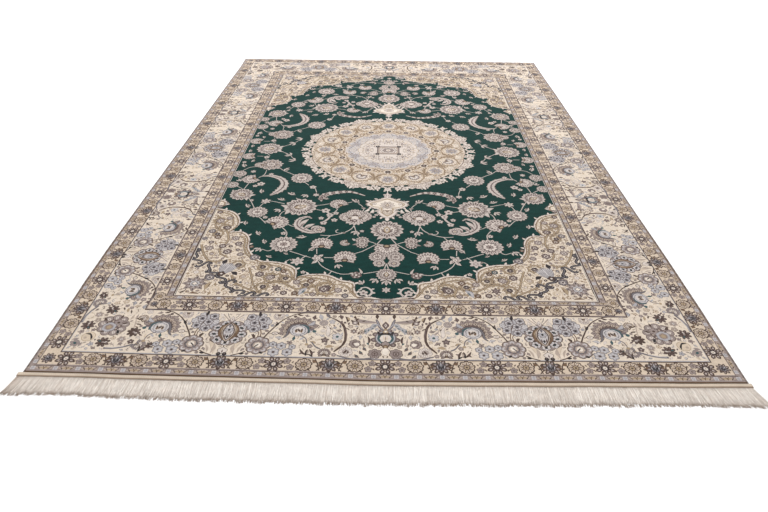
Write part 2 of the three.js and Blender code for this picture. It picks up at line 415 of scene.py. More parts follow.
def plume(path, widths, body="ivory", ink="umber", vein="mauve", barb=0.5, every=2, flowers=False):
    """A long curved leaf with barbs along both edges, and a vein or a row of small flowers."""
    p = smooth(path, spans=4)
    d = np.gradient(p, axis=0)
    d /= np.maximum(np.hypot(d[:, 0], d[:, 1]), 1e-9)[:, None]
    w = np.interp(np.linspace(0, 1, len(p)), np.linspace(0, 1, len(widths)), widths)
    rows = []
    for i in range(1, len(p) - 1, every):
        for side in (-1, 1):
            out = np.array([-d[i, 1], d[i, 0]]) * side
            root = p[i] + out * w[i] * 0.2
            rows += leaf(body, tuple(root), tuple(root + (out * 0.86 + d[i] * 0.7) * w[i] * barb), w[i] * 0.34, 0.1 * side, ink, 1.7, n=4)
    rows += sickle(body, path, widths, ink, 1.4, spans=4)
    if flowers:
        for i in range(2, len(p) - 1, 2):
            rows += place(floret(w[i] * 0.4, vein, "ivory", ink, 5), *p[i], 40 * i)
        return rows
    rows += sickle(vein, path, [v * 0.2 for v in widths], spans=4)
    for i in range(2, len(p) - 2, every):
        for side in (-1, 1):
            out = np.array([-d[i, 1], d[i, 0]]) * side
            rows += leaf(vein, tuple(p[i]), tuple(p[i] + (out * 0.36 + d[i] * 0.5) * w[i]), 2.2, n=3)
    return rows


def feather(r):
    """A curled leaf with three plumes and a gold heart at its foot."""
    rows = plume([(r * 1.0, -r * 0.62), (r * 0.1, -r * 0.66), (-r * 0.62, -r * 0.1), (-r * 0.66, r * 0.62), (-r * 0.2, r * 1.0), (r * 0.1, r * 0.8)], [r * 0.1, r * 0.34, r * 0.4, r * 0.3, r * 0.16, r * 0.06])
    for x, y, u, v in ((-0.45, -0.2, -0.06, 0.72), (-0.2, -0.42, 0.34, 0.2), (0.2, -0.5, 0.62, 0.0)):
        rows += leaf("ivory", (r * x, r * y), (r * u, r * v), r * 0.3, 0.12, "brown", 1.9)
        rows += leaf("mauve", (r * x, r * y), (r * (x + u) / 2 + 2, r * (y + v) / 2 + 2), r * 0.1, 0.12)
    return rows + place(rosette(r * 0.36, "ivory", "mauve", "gold", "brown", 7), r * 0.66, -r * 0.42)


def chain(r):
    """Six small flowers along a bent sprig."""
    rows = stroke("ivory", [(-r * 0.5, -r), (0, -r * 0.3), (r * 0.1, r * 0.3), (-r * 0.3, r)], r * 0.16, ink="brown", line=1.6)
    for x, y, s in ((-0.3, 1.0, 0.36), (0.55, 0.62, 0.24), (0.1, 0.3, 0.3), (-0.55, -0.2, 0.22), (0.5, -0.45, 0.26), (-0.3, -0.9, 0.28)):
        rows += place(floret(r * s, "ivory", "mauve", "brown"), r * x, r * y)
    return rows


def hook(r, body="ivory"):
    return stroke(body, [(0, -r), (-r * 0.7, -r * 0.4), (-r * 0.5, r * 0.5), (r * 0.2, r * 0.6), (r * 0.3, 0)], r * 0.3, r * 0.12)


def curl(r, body="ivory"):
    """A ring of stem about a small flower, with two buds on it."""
    rows = stroke(body, [(-r * 0.5, r * 0.8), (r * 0.2, r), (r * 0.85, r * 0.5), (r, -r * 0.2), (r * 0.6, -r * 0.85)], r * 0.2, r * 0.34)
    rows += leaf(body, (-r * 0.3, r * 0.9), (-r * 0.9, r * 0.3), r * 0.3, 0.15) + leaf(body, (r * 0.9, r * 0.5), (r * 1.35, r * 0.75), r * 0.34)
    rows += leaf(body, (r * 0.95, -r * 0.1), (r * 1.5, -r * 0.2), r * 0.4)
    return rows + place(floret(r * 0.6, body, "plum", "brown", 5), -r * 0.1, -r * 0.2)


# Small things for free ground. Each is drawn at a radius, with a random choice of yarns.


TINTS = [("sky", "slate"), ("mist", "slate"), ("tan", "brown"), ("mauve", "umber"), ("beige", "umber"), ("ivory", "mauve"), ("plum", "umber"), ("mauve", "plum")]


def tint(pick, tints=TINTS):
    return tints[int(pick.integers(len(tints)))]


def tinted(kinds, tints):
    """The same small things in a choice of yarns of their own."""
    return [lambda r, pick, kind=kind: kind(r, pick, tints) for kind in kinds]


def bud(r, pick, tints=TINTS):
    body, ink = tint(pick, tints)
    if r < 4.6:
        return leaf(ink, (0, -r * 1.15), (0, r * 1.15), r * 1.3, 0.1, n=4) + leaf(body, (0, -r * 0.7), (0, r * 0.7), r * 0.7, 0.1, n=3)
    rows = leaf(ink, (0, -r * 0.6), (-r * 0.8, r * 0.1), r * 0.4, 0.15, n=3) + leaf(ink, (0, -r * 0.5), (r * 0.8, 0), r * 0.4, -0.15, n=3)
    rows += leaf(body, (0, -r), (0, r), r * 0.8, 0.1, ink, 1.5, n=5)
    return rows + (leaf(ink, (0, -r * 0.5), (0, r * 0.5), r * 0.22, 0.1, n=3) if r > 7 else [])


def blossom(r, pick, tints=TINTS):
    body, ink = tint(pick, tints)
    if r < 4.6:
        return oval(ink, r, n=7) + oval(body, r * 0.5, n=5)
    rows = leaf(ink, (0, 0), (-r, -r * 0.5), r * 0.4, 0.15, n=3) + leaf(ink, (0, 0), (r * 0.9, -r * 0.7), r * 0.4, -0.15, n=3)
    rows += lobed(body, 5, r * 0.72, r * 0.46, (0, r * 0.2), ink=ink, line=1.4)
    return rows + oval(ink, r * 0.24, at=(0, r * 0.2), n=5)


def spray(r, pick, tints=TINTS):
    body, ink = tint(pick, tints)
    rows = stroke(ink, [(-r * 0.5, -r * 0.9), (r * 0.1, -r * 0.2), (0, r * 0.9)], 1.8, 1.6, spans=2)
    for k, (x, y) in enumerate(((-0.15, -0.5), (0.08, -0.1), (0.08, 0.3), (0.03, 0.65))):
        way = -1 if k % 2 else 1
        rows += leaf(body, (r * x, r * y), (r * x + way * r * 0.7, r * (y + 0.36)), max(2.4, r * 0.34), way * 0.1, n=3)
    return rows


def cloud(r, pick, tints=TINTS):
    body, ink = tint(pick, tints)
    rows = lobed(body, 5, r * 0.9, r * 0.6, ink=ink, line=1.5)
    if r < 6:
        return rows + oval(ink, r * 0.3, n=5)
    return rows + around(leaf(ink, (0, r * 0.2), (0, r * 0.7), r * 0.22, n=3), 5) + oval("ivory", r * 0.22, n=6) + oval(ink, r * 0.1, n=4)


FILL = [bud, blossom, spray, cloud, bud, spray]


def scroll(r, pick, tints=(("gold", "brown"),)):
    """A spiral line with leaves outside it and a flower at its heart."""
    body, ink = tint(pick, tints)
    way = 1 if pick.integers(2) else -1
    turns = np.linspace(0, 440, 8)
    path = [polar(way * a, r * (0.8 - 0.5 * a / 440)) for a in turns]
    rows = stroke(ink, path, r * 0.15 + 1.6, r * 0.1 + 1.2, spans=2) + stroke(body, path, r * 0.15, r * 0.1, spans=2)
    for k in range(5):
        rows += leaf(ink if k % 2 else body, polar(72 * k + 20, r * 0.78), polar(72 * k + 32, r * 1.08), r * 0.24, 0.15, n=3)
    dark = pick.random() < 0.36
    petal = ("plum", "umber", "slate")[int(pick.integers(3))] if dark else ("mauve", "tan", "ivory", "beige")[int(pick.integers(4))]
    rows += lobed(petal, 6, r * 0.42, r * 0.32, ink="ink" if dark else ink, line=1.4) + oval("ivory", r * 0.17, n=6)
    return rows + oval("umber", r * 0.08, n=5)


# Distances from the rug's side edge and from its end, in millimetres, of the lines between bands.
SIDE = dict(edge=5, stripe=(5, 18), guard=(20, 64.5), main=(69.5, 242.6), inner=(248.6, 288), small=(293, 308), field=316)
END = dict(edge=5.5, stripe=(5.5, 20.4), guard=(26.9, 75), main=(82, 271), inner=(279, 326.4), small=(332.3, 345.3), field=351)


def block(yarn, x0, y0, x1, y1):
    return [(yarn, np.array([[x0, y0], [x1, y0], [x1, y1], [x0, y1]], float))]


# Main border. u runs along it, v across it toward the field, about the band's middle line.


def border_oval():
    rows = lobed("mauve", 11, 57, 50, ink="umber", line=2.2, squash=0.98)
    flower = lobed("mist", 6, 13.5, 10.5, ink="umber", line=1.8) + around(leaf("mauve", (0, 6), (0, 12), 3.4, n=3), 6, 30)
    flower += leaf("ink", (0, -7.5), (0, 7.5), 9.5, n=5) + leaf("teal", (0, -3), (0, 4), 3, n=3)
    rows += [row for k in range(9) for row in place(flower, *polar(20 + 40 * k, 42), 20 + 40 * k)]
    rows += around(leaf("umber", (0, 25), (0, 42), 5), 9)
    rows += leaf("umber", (0, -42), (0, 48), 62, n=12) + leaf("beige", (0, -39), (0, 45), 56, n=12)
    rows += both(sickle("brown", [(8, 42), (24, 20), (24, -8), (10, -32)], [2, 9, 9, 3], "umber", 1.0))
    rows += both(sickle("gold", [(14, 34), (23, 16), (22, -4)], [1, 3.4, 1]))
    rows += leaf("umber", (0, -35), (0, 45), 36, n=10) + leaf("mist", (0, -31), (0, 40), 29, n=10)
    rows += lobed("sky", 7, 12, 9, (0, 11), ink="slate", line=1.8) + around(leaf("mauve", (0, 4), (0, 9), 3, n=3), 7)
    rows += oval("ink", 4, 5, (0, 12)) + leaf("slate", (0, 24), (0, 38), 8) + leaf("ink", (0, -26), (0, -9), 8)
    rows += both(leaf("plum", (5, -22), (9, -4), 5) + leaf("ivory", (2, 20), (7, 28), 4, n=4))
    rows += oval("ink", 6.5, 5, (0, -44)) + both(leaf("ivory", (3, -46), (11, -40), 4, n=4))
    rows += leaf("ivory", (0, 50), (0, 72), 12, ink="mauve") + leaf("mauve", (0, 53), (0, 66), 4)
    for s in (-1, 1):
        rows += stroke("mauve", [(s * 5, 52), (s * 20, 68), (s * 32, 84)], 3.4)
        rows += stroke("slate", [(s * 9, 66), (s * 16, 78), (s * 19, 88)], 2.2)
        rows += leaf("ivory", (s * 30, 70), (s * 40, 86), 7, ink="mauve", line=1.2)
        rows += leaf("tan", (s * 26, -90), (s * 47, -38), 13, s * 0.12, ink="beige", line=1.6)
        rows += leaf("beige", (s * 33, -88), (s * 30, -48), 8, s * 0.1, ink="mauve", line=1.2)
        rows += leaf("beige", (s * 44, -86), (s * 56, -52), 7, s * 0.12)
    rows += stroke("umber", [(0, -56), (0, -68)], 3) + lobed("ivory", 5, 14, 11, (0, -78), ink="umber", line=1.6)
    return rows + both(oval("ink", 7, 7.5, (8.5, -91)) + oval("plum", 3, at=(8.5, -89))) + leaf("plum", (0, -88), (0, -72), 5)


def oval_side():
    """What stands beside the oval: cluster, rosette, stems and the heart palmette."""
    rows = stroke("umber", [(-110, -20), (-118, -2), (-130, 20), (-142, 41), (-160, 66), (-190, 88), (-222, 97), (-252, 99)], 5, 3.4)
    rows += leaf("ink", (-136, 30), (-147, 52), 9) + leaf("umber", (-142, 40), (-138, 56), 4)
    rows += leaf("umber", (-196, 92), (-218, 84), 8, 0.1) + stroke("slate", [(-206, 98), (-230, 103), (-268, 98)], 3)
    rows += stroke("brown", [(-98, -20), (-99, 0), (-94, 18), (-84, 40)], 3.4) + stroke("brown", [(-91, -18), (-92, 0), (-84, 12)], 3)
    rows += leaf("umber", (-81, -24), (-71, -6), 8, 0.2, ink="ink", line=1.2) + leaf("umber", (-84, -22), (-76, -2), 8, -0.1)
    rows += lobed("sky", 9, 39, 31, (-80, 47), turn=15, ink="slate", line=2.6, power=0.7)
    pale = lobed("mist", 6, 12, 9, ink="slate", line=2.2) + around(leaf("slate", (0, 3), (0, 8), 2.4, n=3), 6, 30)
    for x, y in ((-112, 52), (-50, 48), (-88, 38), (-92, 78)):
        rows += place(pale, x, y)
    dark = lobed("sky", 6, 14, 10.5, ink="plum", line=2.4) + around(leaf("mist", (0, 5), (0, 12.5), 5, n=4), 6)
    dark += lobed("slate", 5, 7, 5.4, ink="plum", line=1.2) + oval("ink", 3.8, n=6)
    for x, y in ((-93, 61), (-58, 73), (-71, 46), (-104, 29), (-73, 17)):
        rows += place(dark, x, y, x * 7)
    rows += leaf("ink", (-84, 74), (-80, 98), 9, ink="plum", line=1.2) + leaf("plum", (-62, 57), (-44, 61), 5) + leaf("umber", (-83, 52), (-92, 30), 4)
    great = lobed("mauve", 8, 36, 31, ink="umber", line=2.6) + spokes("umber", 8, 15, 33, 1.8, 22.5)
    great += around(leaf("mist", (0, 19), (0, 34), 15, n=6) + leaf("mauve", (0, 17), (0, 29), 10, n=5), 8)
    great += lobed("slate", 8, 19, 16, ink="umber", line=1.4) + lobed("beige", 7, 15, 12, ink="plum", line=1.4)
    rows += place(great, -98, -51) + lobed("cream", 7, 10, 8, (-98, -50))
    rows += leaf("ink", (-101, -45), (-88, -60), 5) + leaf("slate", (-94, -58), (-82, -68), 4)
    rows += leaf("ink", (-118, -86), (-106, -78), 8) + stroke("umber", [(-66, -78), (-50, -88), (-28, -96)], 4) + leaf("ink", (-66, -86), (-50, -90), 8)
    rows += oval("ivory", 9, 6, (-141, 1), ink="umber") + oval("beige", 4, 3, (-141, 1)) + stroke("umber", [(-130, 0), (-122, -2)], 2.4)
    rows += place(lotus(15, "ivory", "mauve", "umber", "mauve"), -142, 78, 180)
    rows += place(heart_palmette(), -211, 16)
    for x, y, r in ((-188, -78, 15), (-168, -52, 14), (-148, -78, 17), (-142, -46, 11), (-200, -56, 10)):
        rows += place(lobed("sky", 6, r, r * 0.74, ink="slate", line=2.2) + around(leaf("mist", (0, r * 0.3), (0, r * 0.86), r * 0.4, n=4), 6), x, y)
        rows += oval("plum", r * 0.3, at=(x, y), n=7) + oval("ink", r * 0.14, at=(x, y), n=5)
    return rows + place(bird_leaf(), -237, -74)


def heart_palmette():
    """A pale heart with a shaggy fan of brown and plum lobes opening up and to the right."""
    rows = []
    for inner, tip, width, body, ink, shift in ((24, 61, 20, "mauve", "umber", 0), (22, 50, 16, "beige", "umber", 9), (20, 38, 11, "plum", "umber", 0)):
        for k in range(10):
            way = np.array(polar(-66 + shift + 19 * k, 1.0))
            rows += leaf(body, tuple(way * inner), tuple(way * tip), width, 0, ink, 1.6, n=5, belly=0.66)
            rows += leaf("brown" if k % 2 else "umber", tuple(way * (tip - 14)), tuple(way * (tip - 3)), 3.4, n=3)
    rows += oval("mist", 27, 25, ink="slate", line=2)
    rows += sickle("teal", [(-30, -12), (-29, 8), (-16, 22), (0, 25)], [3, 7, 5, 2], "slate", 1.4)
    rows += sickle("slate", [(4, 27), (22, 20), (32, 2), (34, -22), (44, -34)], [2, 6, 5, 6, 2], "ink", 1.0)
    rows += lobed("mist", 6, 20, 17, ink="slate", line=2.2) + lobed("ivory", 4, 15, 12, turn=45)
    rows += around(leaf("umber", (-7, -7), (-10, 9), 7) + leaf("umber", (-2, -9), (-2, 5), 5), 2, 0) + oval("umber", 3, at=(0, 0))
    rows += both(oval("brown", 4, 5, (8, -5)))
    rows += oval("slate", 9, 4.5, (-38, 4)) + oval("teal", 6.5, at=(-47, -3)) + leaf("plum", (-46, 8), (-28, 8), 5)
    rows += leaf("teal", (10, -26), (12, -46), 8, ink="slate", line=1.2) + leaf("tan", (-34, -34), (-26, -48), 9, ink="gold", line=1.2)
    rows += leaf("sky", (-20, -28), (-6, -42), 8) + leaf("ivory", (26, -30), (36, -44), 8, ink="mauve", line=1.2)
    rows += leaf("sky", (-24, 24), (-44, 44), 11, 0.2, ink="slate", line=1.2) + leaf("slate", (-34, 20), (-50, 30), 6)
    return rows + stroke("slate", [(-6, -22), (-24, -34), (-30, -56)], 4, 3) + oval("gold", 6, 5, (-30, -60))


def bird_leaf():
    rows = leaf("umber", (-9, -16), (14, 12), 8, -0.1) + leaf("umber", (-4, -4), (-10, 10), 6) + leaf("plum", (4, -4), (14, -12), 6)
    return rows + leaf("ink", (-7, -18), (-4, 2), 6)


def lotus_side():
    """What stands beside the lotus in the middle of a side of the border."""
    rows = sickle("umber", [(-140, 60), (-128, 40), (-119, 2), (-124, -38), (-150, -72)], [4, 7, 7, 6, 3], "brown", 1.2)
    rows += sickle("plum", [(-126, 36), (-118, 10), (-117, -20)], [2, 4, 2]) + leaf("umber", (-122, 34), (-108, 22), 5)
    rows += stroke("umber", [(-138, 56), (-150, 66), (-172, 80)], 6, 4) + leaf("slate", (-186, 98), (-172, 76), 10, ink="umber", line=1.2)
    rows += leaf("plum", (-134, 66), (-138, 46), 9) + leaf("umber", (-126, 84), (-118, 58), 9, 0.2, ink="brown", line=1.2)
    rows += leaf("gold", (-118, 82), (-112, 66), 7, ink="umber", line=1.2) + leaf("plum", (-112, 60), (-114, 44), 7) + leaf("slate", (-140, 46), (-136, 30), 7)
    rows += sickle("mauve", [(-30, 60), (-56, 60), (-80, 66), (-96, 74)], [3, 15, 12, 4], "slate", 1.2)
    rows += sickle("beige", [(-38, 56), (-60, 53), (-78, 56)], [2, 7, 3]) + leaf("umber", (-74, 62), (-60, 68), 5)
    for x, y, t in ((-92, 82, 20), (-86, 70, -30), (-100, 66, 60), (-82, 54, 10)):
        rows += place(leaf("umber", (0, -8), (0, 8), 7, 0.2, "gold", 1.2), x, y, t)
    rows += oval("mauve", 8, at=(-94, 56), ink="umber") + oval("ivory", 3.5, at=(-94, 56))
    for x, y, t in ((-40, 32, -50), (-52, 24, -20), (-62, 20, 20), (-34, 44, -60)):
        rows += place(leaf("sky", (0, -14), (0, 14), 13, 0.1, "slate", 1.3) + leaf("teal", (0, -7), (0, 8), 4), x, y, t)
    rows += leaf("tan", (-72, 10), (-66, 34), 8, ink="mauve", line=1.2) + place(floret(8, "beige", "umber", "umber"), -72, 14)
    rows += place(small_star(10, "plum"), -96, 18) + leaf("umber", (-90, 26), (-82, 38), 5) + leaf("umber", (-84, 2), (-80, 16), 5)
    rows += place(floret(16, "mist", "teal", "slate", 6), -144, -8) + leaf("mauve", (-146, 4), (-158, 18), 7) + leaf("sky", (-132, 0), (-128, 12), 6)
    rows += place(rosette(17, "mauve", "plum", "cream", "umber", 7), -90, -36) + lobed("cream", 6, 8, 6, (-84, -38))
    rows += place(rosette(20, "ivory", "mauve", "umber", "mauve", 7), -116, -70) + leaf("umber", (-122, -78), (-112, -62), 8) + leaf("umber", (-110, -78), (-108, -66), 6)
    rows += place(lotus(17, "mauve", "plum", "umber", "umber"), -177, -78) + place(bird_leaf(), -220, -80, 60)
    rows += leaf("gold", (-178, -54), (-152, -50), 11, 0.1, ink="umber", line=1.1) + leaf("tan", (-150, -60), (-138, -46), 8, ink="gold", line=1.1)
    rows += place(star(12, "plum", "mauve", "umber", 5), -180, -24) + leaf("gold", (-222, -32), (-206, -38), 10, ink="umber", line=1.2)
    rows += sickle("ivory", [(-180, 40), (-172, 26), (-174, 4), (-168, -10)], [3, 11, 10, 3], "mauve", 1.4)
    rows += leaf("brown", (-160, 46), (-154, 36), 6) + leaf("umber", (-170, 32), (-164, 22), 5) + stroke("mauve", [(-166, 38), (-158, 12), (-172, -6)], 2.4)
    rows += place(bunch(12, "mist", "slate", "mauve"), -190, 52) + leaf("sky", (-204, 92), (-196, 66), 11, ink="slate", line=1.3)
    rows += stroke("slate", [(-218, -34), (-206, -52), (-190, -62)], 5, 4) + stroke("slate", [(-40, -94), (-70, -99), (-104, -97), (-140, -86)], 8, 5)
    for x, y, t in ((-60, -56, 30), (-70, -72, 35), (-82, -86, 45)):
        rows += place(leaf("plum", (0, -9), (0, 9), 9, 0.1, "umber", 1) + leaf("teal", (0, -3), (0, 6), 4), x, y, t)
    return rows + leaf("umber", (-54, -2), (-52, -38), 6, 0.15, ink="mauve", line=1.2) + leaf("teal", (-56, -30), (-48, -40), 6) + leaf("mauve", (-66, -10), (-62, -40), 5)


def border_lotus():
    rows = around(oval("plum", 8, 8, (0, 35), ink="umber", line=1.5) + oval("mauve", 3.5, at=(0, 36)), 9, 20)
    rows = place(rows, 0, -11) + place(around(leaf("umber", (0, 24), (0, 36), 5), 9), 0, -11)
    rows += oval("sky", 29, 29, (0, -9), ink="slate") + oval("teal", 25, 26, (0, -9)) + lobed("ivory", 8, 18, 16, (0, -11))
    rows += sickle("ink", [(-22, 2), (-12, 9), (0, 11), (12, 9), (22, 2)], [5, 10, 12, 10, 5]) + both(leaf("ink", (18, 4), (24, 20), 7, ink="slate", line=1.2))
    rows += both(leaf("tan", (3, -22), (6, 2), 5)) + leaf("mauve", (0, -24), (0, 0), 3.4) + oval("ink", 4, 5, (0, -26)) + lobed("mauve", 5, 12, 9, (0, -36), ink="umber")
    rows += lobed("brown", 5, 9, 7, (0, -46)) + oval("gold", 4, at=(0, -46))
    rows += lobed("gold", 5, 10, 7, (0, 22), ink="brown") + oval("cream", 4, at=(0, 19))
    for s in (-1, 1):
        rows += sickle("slate", [(s * 6, 22), (s * 18, 40), (s * 24, 58), (s * 29, 74)], [5, 8, 8, 4], "mauve", 1.2)
        rows += sickle("sky", [(s * 10, 30), (s * 20, 46), (s * 26, 66)], [1, 3, 1])
        rows += leaf("ink", (s * 9, 62), (s * 17, 78), 9) + leaf("umber", (s * 26, 76), (s * 27, 98), 10, ink="ink", line=1.2)
        rows += leaf("mauve", (s * 8, -52), (s * 18, -70), 5) + place(rosette(19, "mauve", "plum", "umber", "umber", 7), s * 31, -75)
        rows += leaf("umber", (s * 4, -92), (s * 8, -82), 5)
    rows += leaf("plum", (0, 32), (0, 62), 18, ink="umber") + leaf("ivory", (0, 38), (0, 56), 8) + leaf("umber", (0, 42), (0, 52), 3)
    rows += leaf("ivory", (-10, 54), (-18, 92), 10) + leaf("ivory", (10, 54), (18, 92), 10)
    return rows + stroke("mauve", [(0, -50), (0, -58)], 7) + oval("cream", 9, 15, (0, -66), ink="mauve", line=1.4)


def corner():
    """The corner's own group, in millimetres from the two edges. It is the same on both sides of the mitre."""
    rows = []
    mitre = 25
    half = place(dark_star(22), 144, 269, 10) + place(dark_star(22), 96, 194, -20) + place(small_star(12), 111, 244)
    half += stroke("slate", [(71, 205), (72, 232), (80, 262), (92, 286)], 8, 6) + stroke("sky", [(72, 210), (74, 234), (82, 262)], 3)
    half += place(lotus(19, "mauve", "plum", "slate", "slate"), 90, 302, 30) + place(dark_star(15), 89, 336)
    half += place(floret(13, "mauve", "teal", "slate", 5), 88, 116) + leaf("mauve", (104, 100), (110, 118), 7, ink="slate", line=1.2)
    half += leaf("umber", (176, 282), (182, 266), 6) + leaf("gold", (190, 278), (194, 258), 7, ink="umber", line=1.1) + leaf("umber", (202, 272), (208, 250), 6)
    half += leaf("beige", (128, 222), (140, 236), 7) + leaf("plum", (128, 300), (136, 286), 7)
    for yarn, pts in half:
        rows += [(yarn, pts), (yarn, pts[:, ::-1] + (-mitre, mitre))]
    rows += oval("tan", 19, at=(118, 143), ink="gold", line=1.6) + leaf("ink", (104, 155), (126, 150), 7, 0.1) + leaf("ink", (120, 152), (130, 128), 7, 0.1) + oval("beige", 5, at=(110, 138))
    great = lobed("mauve", 9, 47, 40, ink="umber", line=2.0, power=0.7) + spokes("umber", 9, 22, 41, 1.6, 0)
    great += around(leaf("ivory", (0, 25), (0, 43), 10, 0, "plum", 1.3) + leaf("mauve", (0, 28), (0, 38), 4) + oval("umber", 1.4, at=(0, 40), n=5), 9)
    great += lobed("plum", 9, 26, 23, ink="umber", line=1.4, turn=20) + around(leaf("beige", (0, 14), (0, 24), 6, 0, "umber", 1), 9, 20)
    rows += place(great, 172, 196)
    for x, y, t in ((140, 222, 40), (186, 236, -10), (204, 206, -70), (150, 168, 120), (196, 160, -150)):
        rows += place(leaf("umber", (0, -10), (0, 10), 8), x, y, t)
    rows += leaf("ink", (192, 176), (200, 158), 9, ink="ivory", line=1.4) + place(floret(15, "mauve", "umber", "plum", 6), 184, 208)
    rows += lobed("sky", 6, 21, 18, (162, 187), ink="slate", line=1.4) + lobed("mauve", 6, 14, 12, (162, 187)) + lobed("gold", 5, 9, 6, (162, 187), ink="brown", line=1.2)
    rows += stroke("beige", [(229, 240), (236, 208), (239, 178)], 4) + leaf("mauve", (232, 252), (230, 226), 6)
    for k in range(6):
        rows += leaf("umber" if k % 2 else "brown", (236 + k * 0.6, 240 - k * 11), (250, 236 - k * 11), 4.4, -0.1)
        rows += leaf("tan", (232 + k * 0.6, 238 - k * 11), (222, 232 - k * 11), 4, 0.1)
    return rows + leaf("beige", (214, 222), (222, 250), 7) + place(lotus(14, "tan", "mauve", "umber", "umber"), 252, 232, -40)


# Guards. Each unit between two stars holds a pair of florets, a rosette, a sprig and the star palmette.


def guard_star():
    rows = around(leaf("umber", (0, 8), (0, 31), 15, n=5, belly=0.6) + leaf("mauve", (0, 14), (0, 26), 8, n=5), 8, 22.5)
    rows += around(leaf("ivory", (0, 15), (0, 22), 2.6, n=3), 8, 22.5) + lobed("umber", 8, 18, 15.5)
    rows += around(leaf("mauve", (0, 11), (0, 17), 4.4, n=4), 8) + oval("ink", 10.5) + lobed("mauve", 8, 8.6, 7)
    return rows + lobed("cream", 6, 6, 4.8) + oval("brown", 2.2, n=6)


def guard_palmette():
    rows = around(leaf("umber", (0, 4), (0, 30), 14, n=5, belly=0.6) + leaf("mauve", (0, 12), (0, 25), 7, n=5), 9, 20)
    rows += around(leaf("mist", (0, 14), (0, 21), 2.4, n=3), 9, 20) + lobed("umber", 9, 17, 14.5) + lobed("slate", 9, 14, 12)
    rows += both(leaf("ink", (4, -11), (8, 10), 5) + leaf("mist", (9, -4), (11, 6), 2.4, n=4) + oval("teal", 2.4, at=(14, 14), n=6))
    return rows + leaf("ink", (0, -13), (0, 14), 7) + leaf("sky", (0, -4), (0, 22), 3.6) + leaf("umber", (0, -16), (0, -29), 7)


def guard_rosette():
    """A shell of pale petals round a gold-brown heart, on two small leaves."""
    rows = both(leaf("umber", (6, -18), (21, -24), 7, 0.15)) + lobed("umber", 9, 26, 21) + lobed("tan", 9, 21.8, 17)
    rows += around(leaf("beige", (0, 8), (0, 19), 6, n=4), 9, 20) + spokes("brown", 9, 8, 20, 2.8, 20)
    return rows + lobed("umber", 9, 10.6, 9) + lobed("gold", 9, 8.4, 6.8) + oval("umber", 3.4)


def guard_pair():
    one = floret(10.5, "mauve", "umber", "umber", 5) + around(leaf("ivory", (0, 4), (0, 8), 2, n=3), 5) + oval("ivory", 1.2, n=4)
    return place(one, -6, 11.5) + place(one, 5, -11) + leaf("umber", (-9, -6), (-13, -16), 4.6, 0.1) + leaf("umber", (8, 4), (14, 13), 4.6)


def guard_sprig():
    rows = stroke("umber", [(-9, 22), (-2, 8), (2, -6), (6, -22)], 3.6) + leaf("brown", (-1, 10), (-15, 20), 9, 0.2, "umber", 1.6)
    rows += leaf("umber", (0, 6), (11, 18), 8, -0.2) + leaf("brown", (2, -2), (11, 5), 6, 0, "umber", 1.2)
    return rows + leaf("umber", (3, -8), (-7, -2), 6) + leaf("umber", (4, -14), (13, -9), 5) + leaf("umber", (5, -16), (-3, -23), 5)


def guard(stars, size=1.0):
    """A guard's motifs along u for a list of star places, with the palmette half way between two stars."""
    rows = []
    for a, b in zip(stars, stars[1:]):
        half = (b - a) / 2
        rows += place(guard_palmette(), a + half, size=size) + place(guard_star(), a, size=size) + place(guard_star(), b, size=size)
        for start, way in ((a, 1), (b, -1)):
            rows += place(guard_pair(), start + way * half * 0.27, size=size, flip=way < 0)
            rows += place(guard_rosette(), start + way * half * 0.54, size=size)
            rows += place(guard_sprig(), start + way * half * 0.79, size=size, flip=way < 0)
    return rows


def stripe(length, width, unit):
    """A minor stripe along u: long gold-brown lozenges with a dark fork, parted by short pale blocks."""
    rows = []
    h, pace = width / 2, unit / 2
    for k in range(int(length / pace) + 2):
        u = k * pace
        rows += leaf("beige", (u - pace * 0.4, 0), (u + pace * 0.4, 0), h * 2.2, n=6) + leaf("gold", (u - pace * 0.26, 0), (u + pace * 0.26, 0), h * 1.1, n=4)
        rows += leaf("umber", (u, -h), (u, h * 0.3), 3.4, n=4) + both_at(leaf("umber", (1, 0), (5.5, h * 0.9), 3, n=4), u)
        rows += both_at(leaf("umber", (pace * 0.17, -h * 0.9), (pace * 0.3, h * 0.2), 3.2, 0.2, n=4) + oval("umber", 1.9, at=(pace * 0.27, h * 0.6), n=5), u)
        v = u + pace / 2
        rows += block("mauve", v - pace * 0.14, -h, v + pace * 0.14, h) + block("mist", v - pace * 0.1, -h + 1, v + pace * 0.1, h - 1)
        rows += leaf("sky", (v, -h * 0.8), (v, h * 0.8), pace * 0.1, 0, "slate", 1.0, n=4)
    return rows


def both_at(shapes, x):
    return place(both(shapes), x)


def along_end(rows, x, y):
    return place(rows, x, y)


def along_side(rows, x, y, size=1.0):
    """The band's drawing laid up the left side: u up the side, v toward the field."""
    return [(yarn, pts[:, ::-1] * size + (x, y)) for yarn, pts in rows]


def bands(lines):
    """Bands of plain yarn, each drawn as the rest of the rug inside its outer lines."""
    rows = []
    for yarn, dx, dy in lines:
        rows += block(yarn, dx, dy, 1010, 1510)
    return rows


def kept(rows, x0=-9e9, y0=-9e9, x1=9e9, y1=9e9):
    """The shapes whose middle lies in a rectangle."""
    found = []
    for yarn, p in rows:
        x, y = (p.min(0) + p.max(0)) / 2
        if x0 < x < x1 and y0 < y < y1:
            found.append((yarn, p))
    return found


def corner_floret(x, y):
    return place(guard_palmette(), x, y, 45, 0.72)


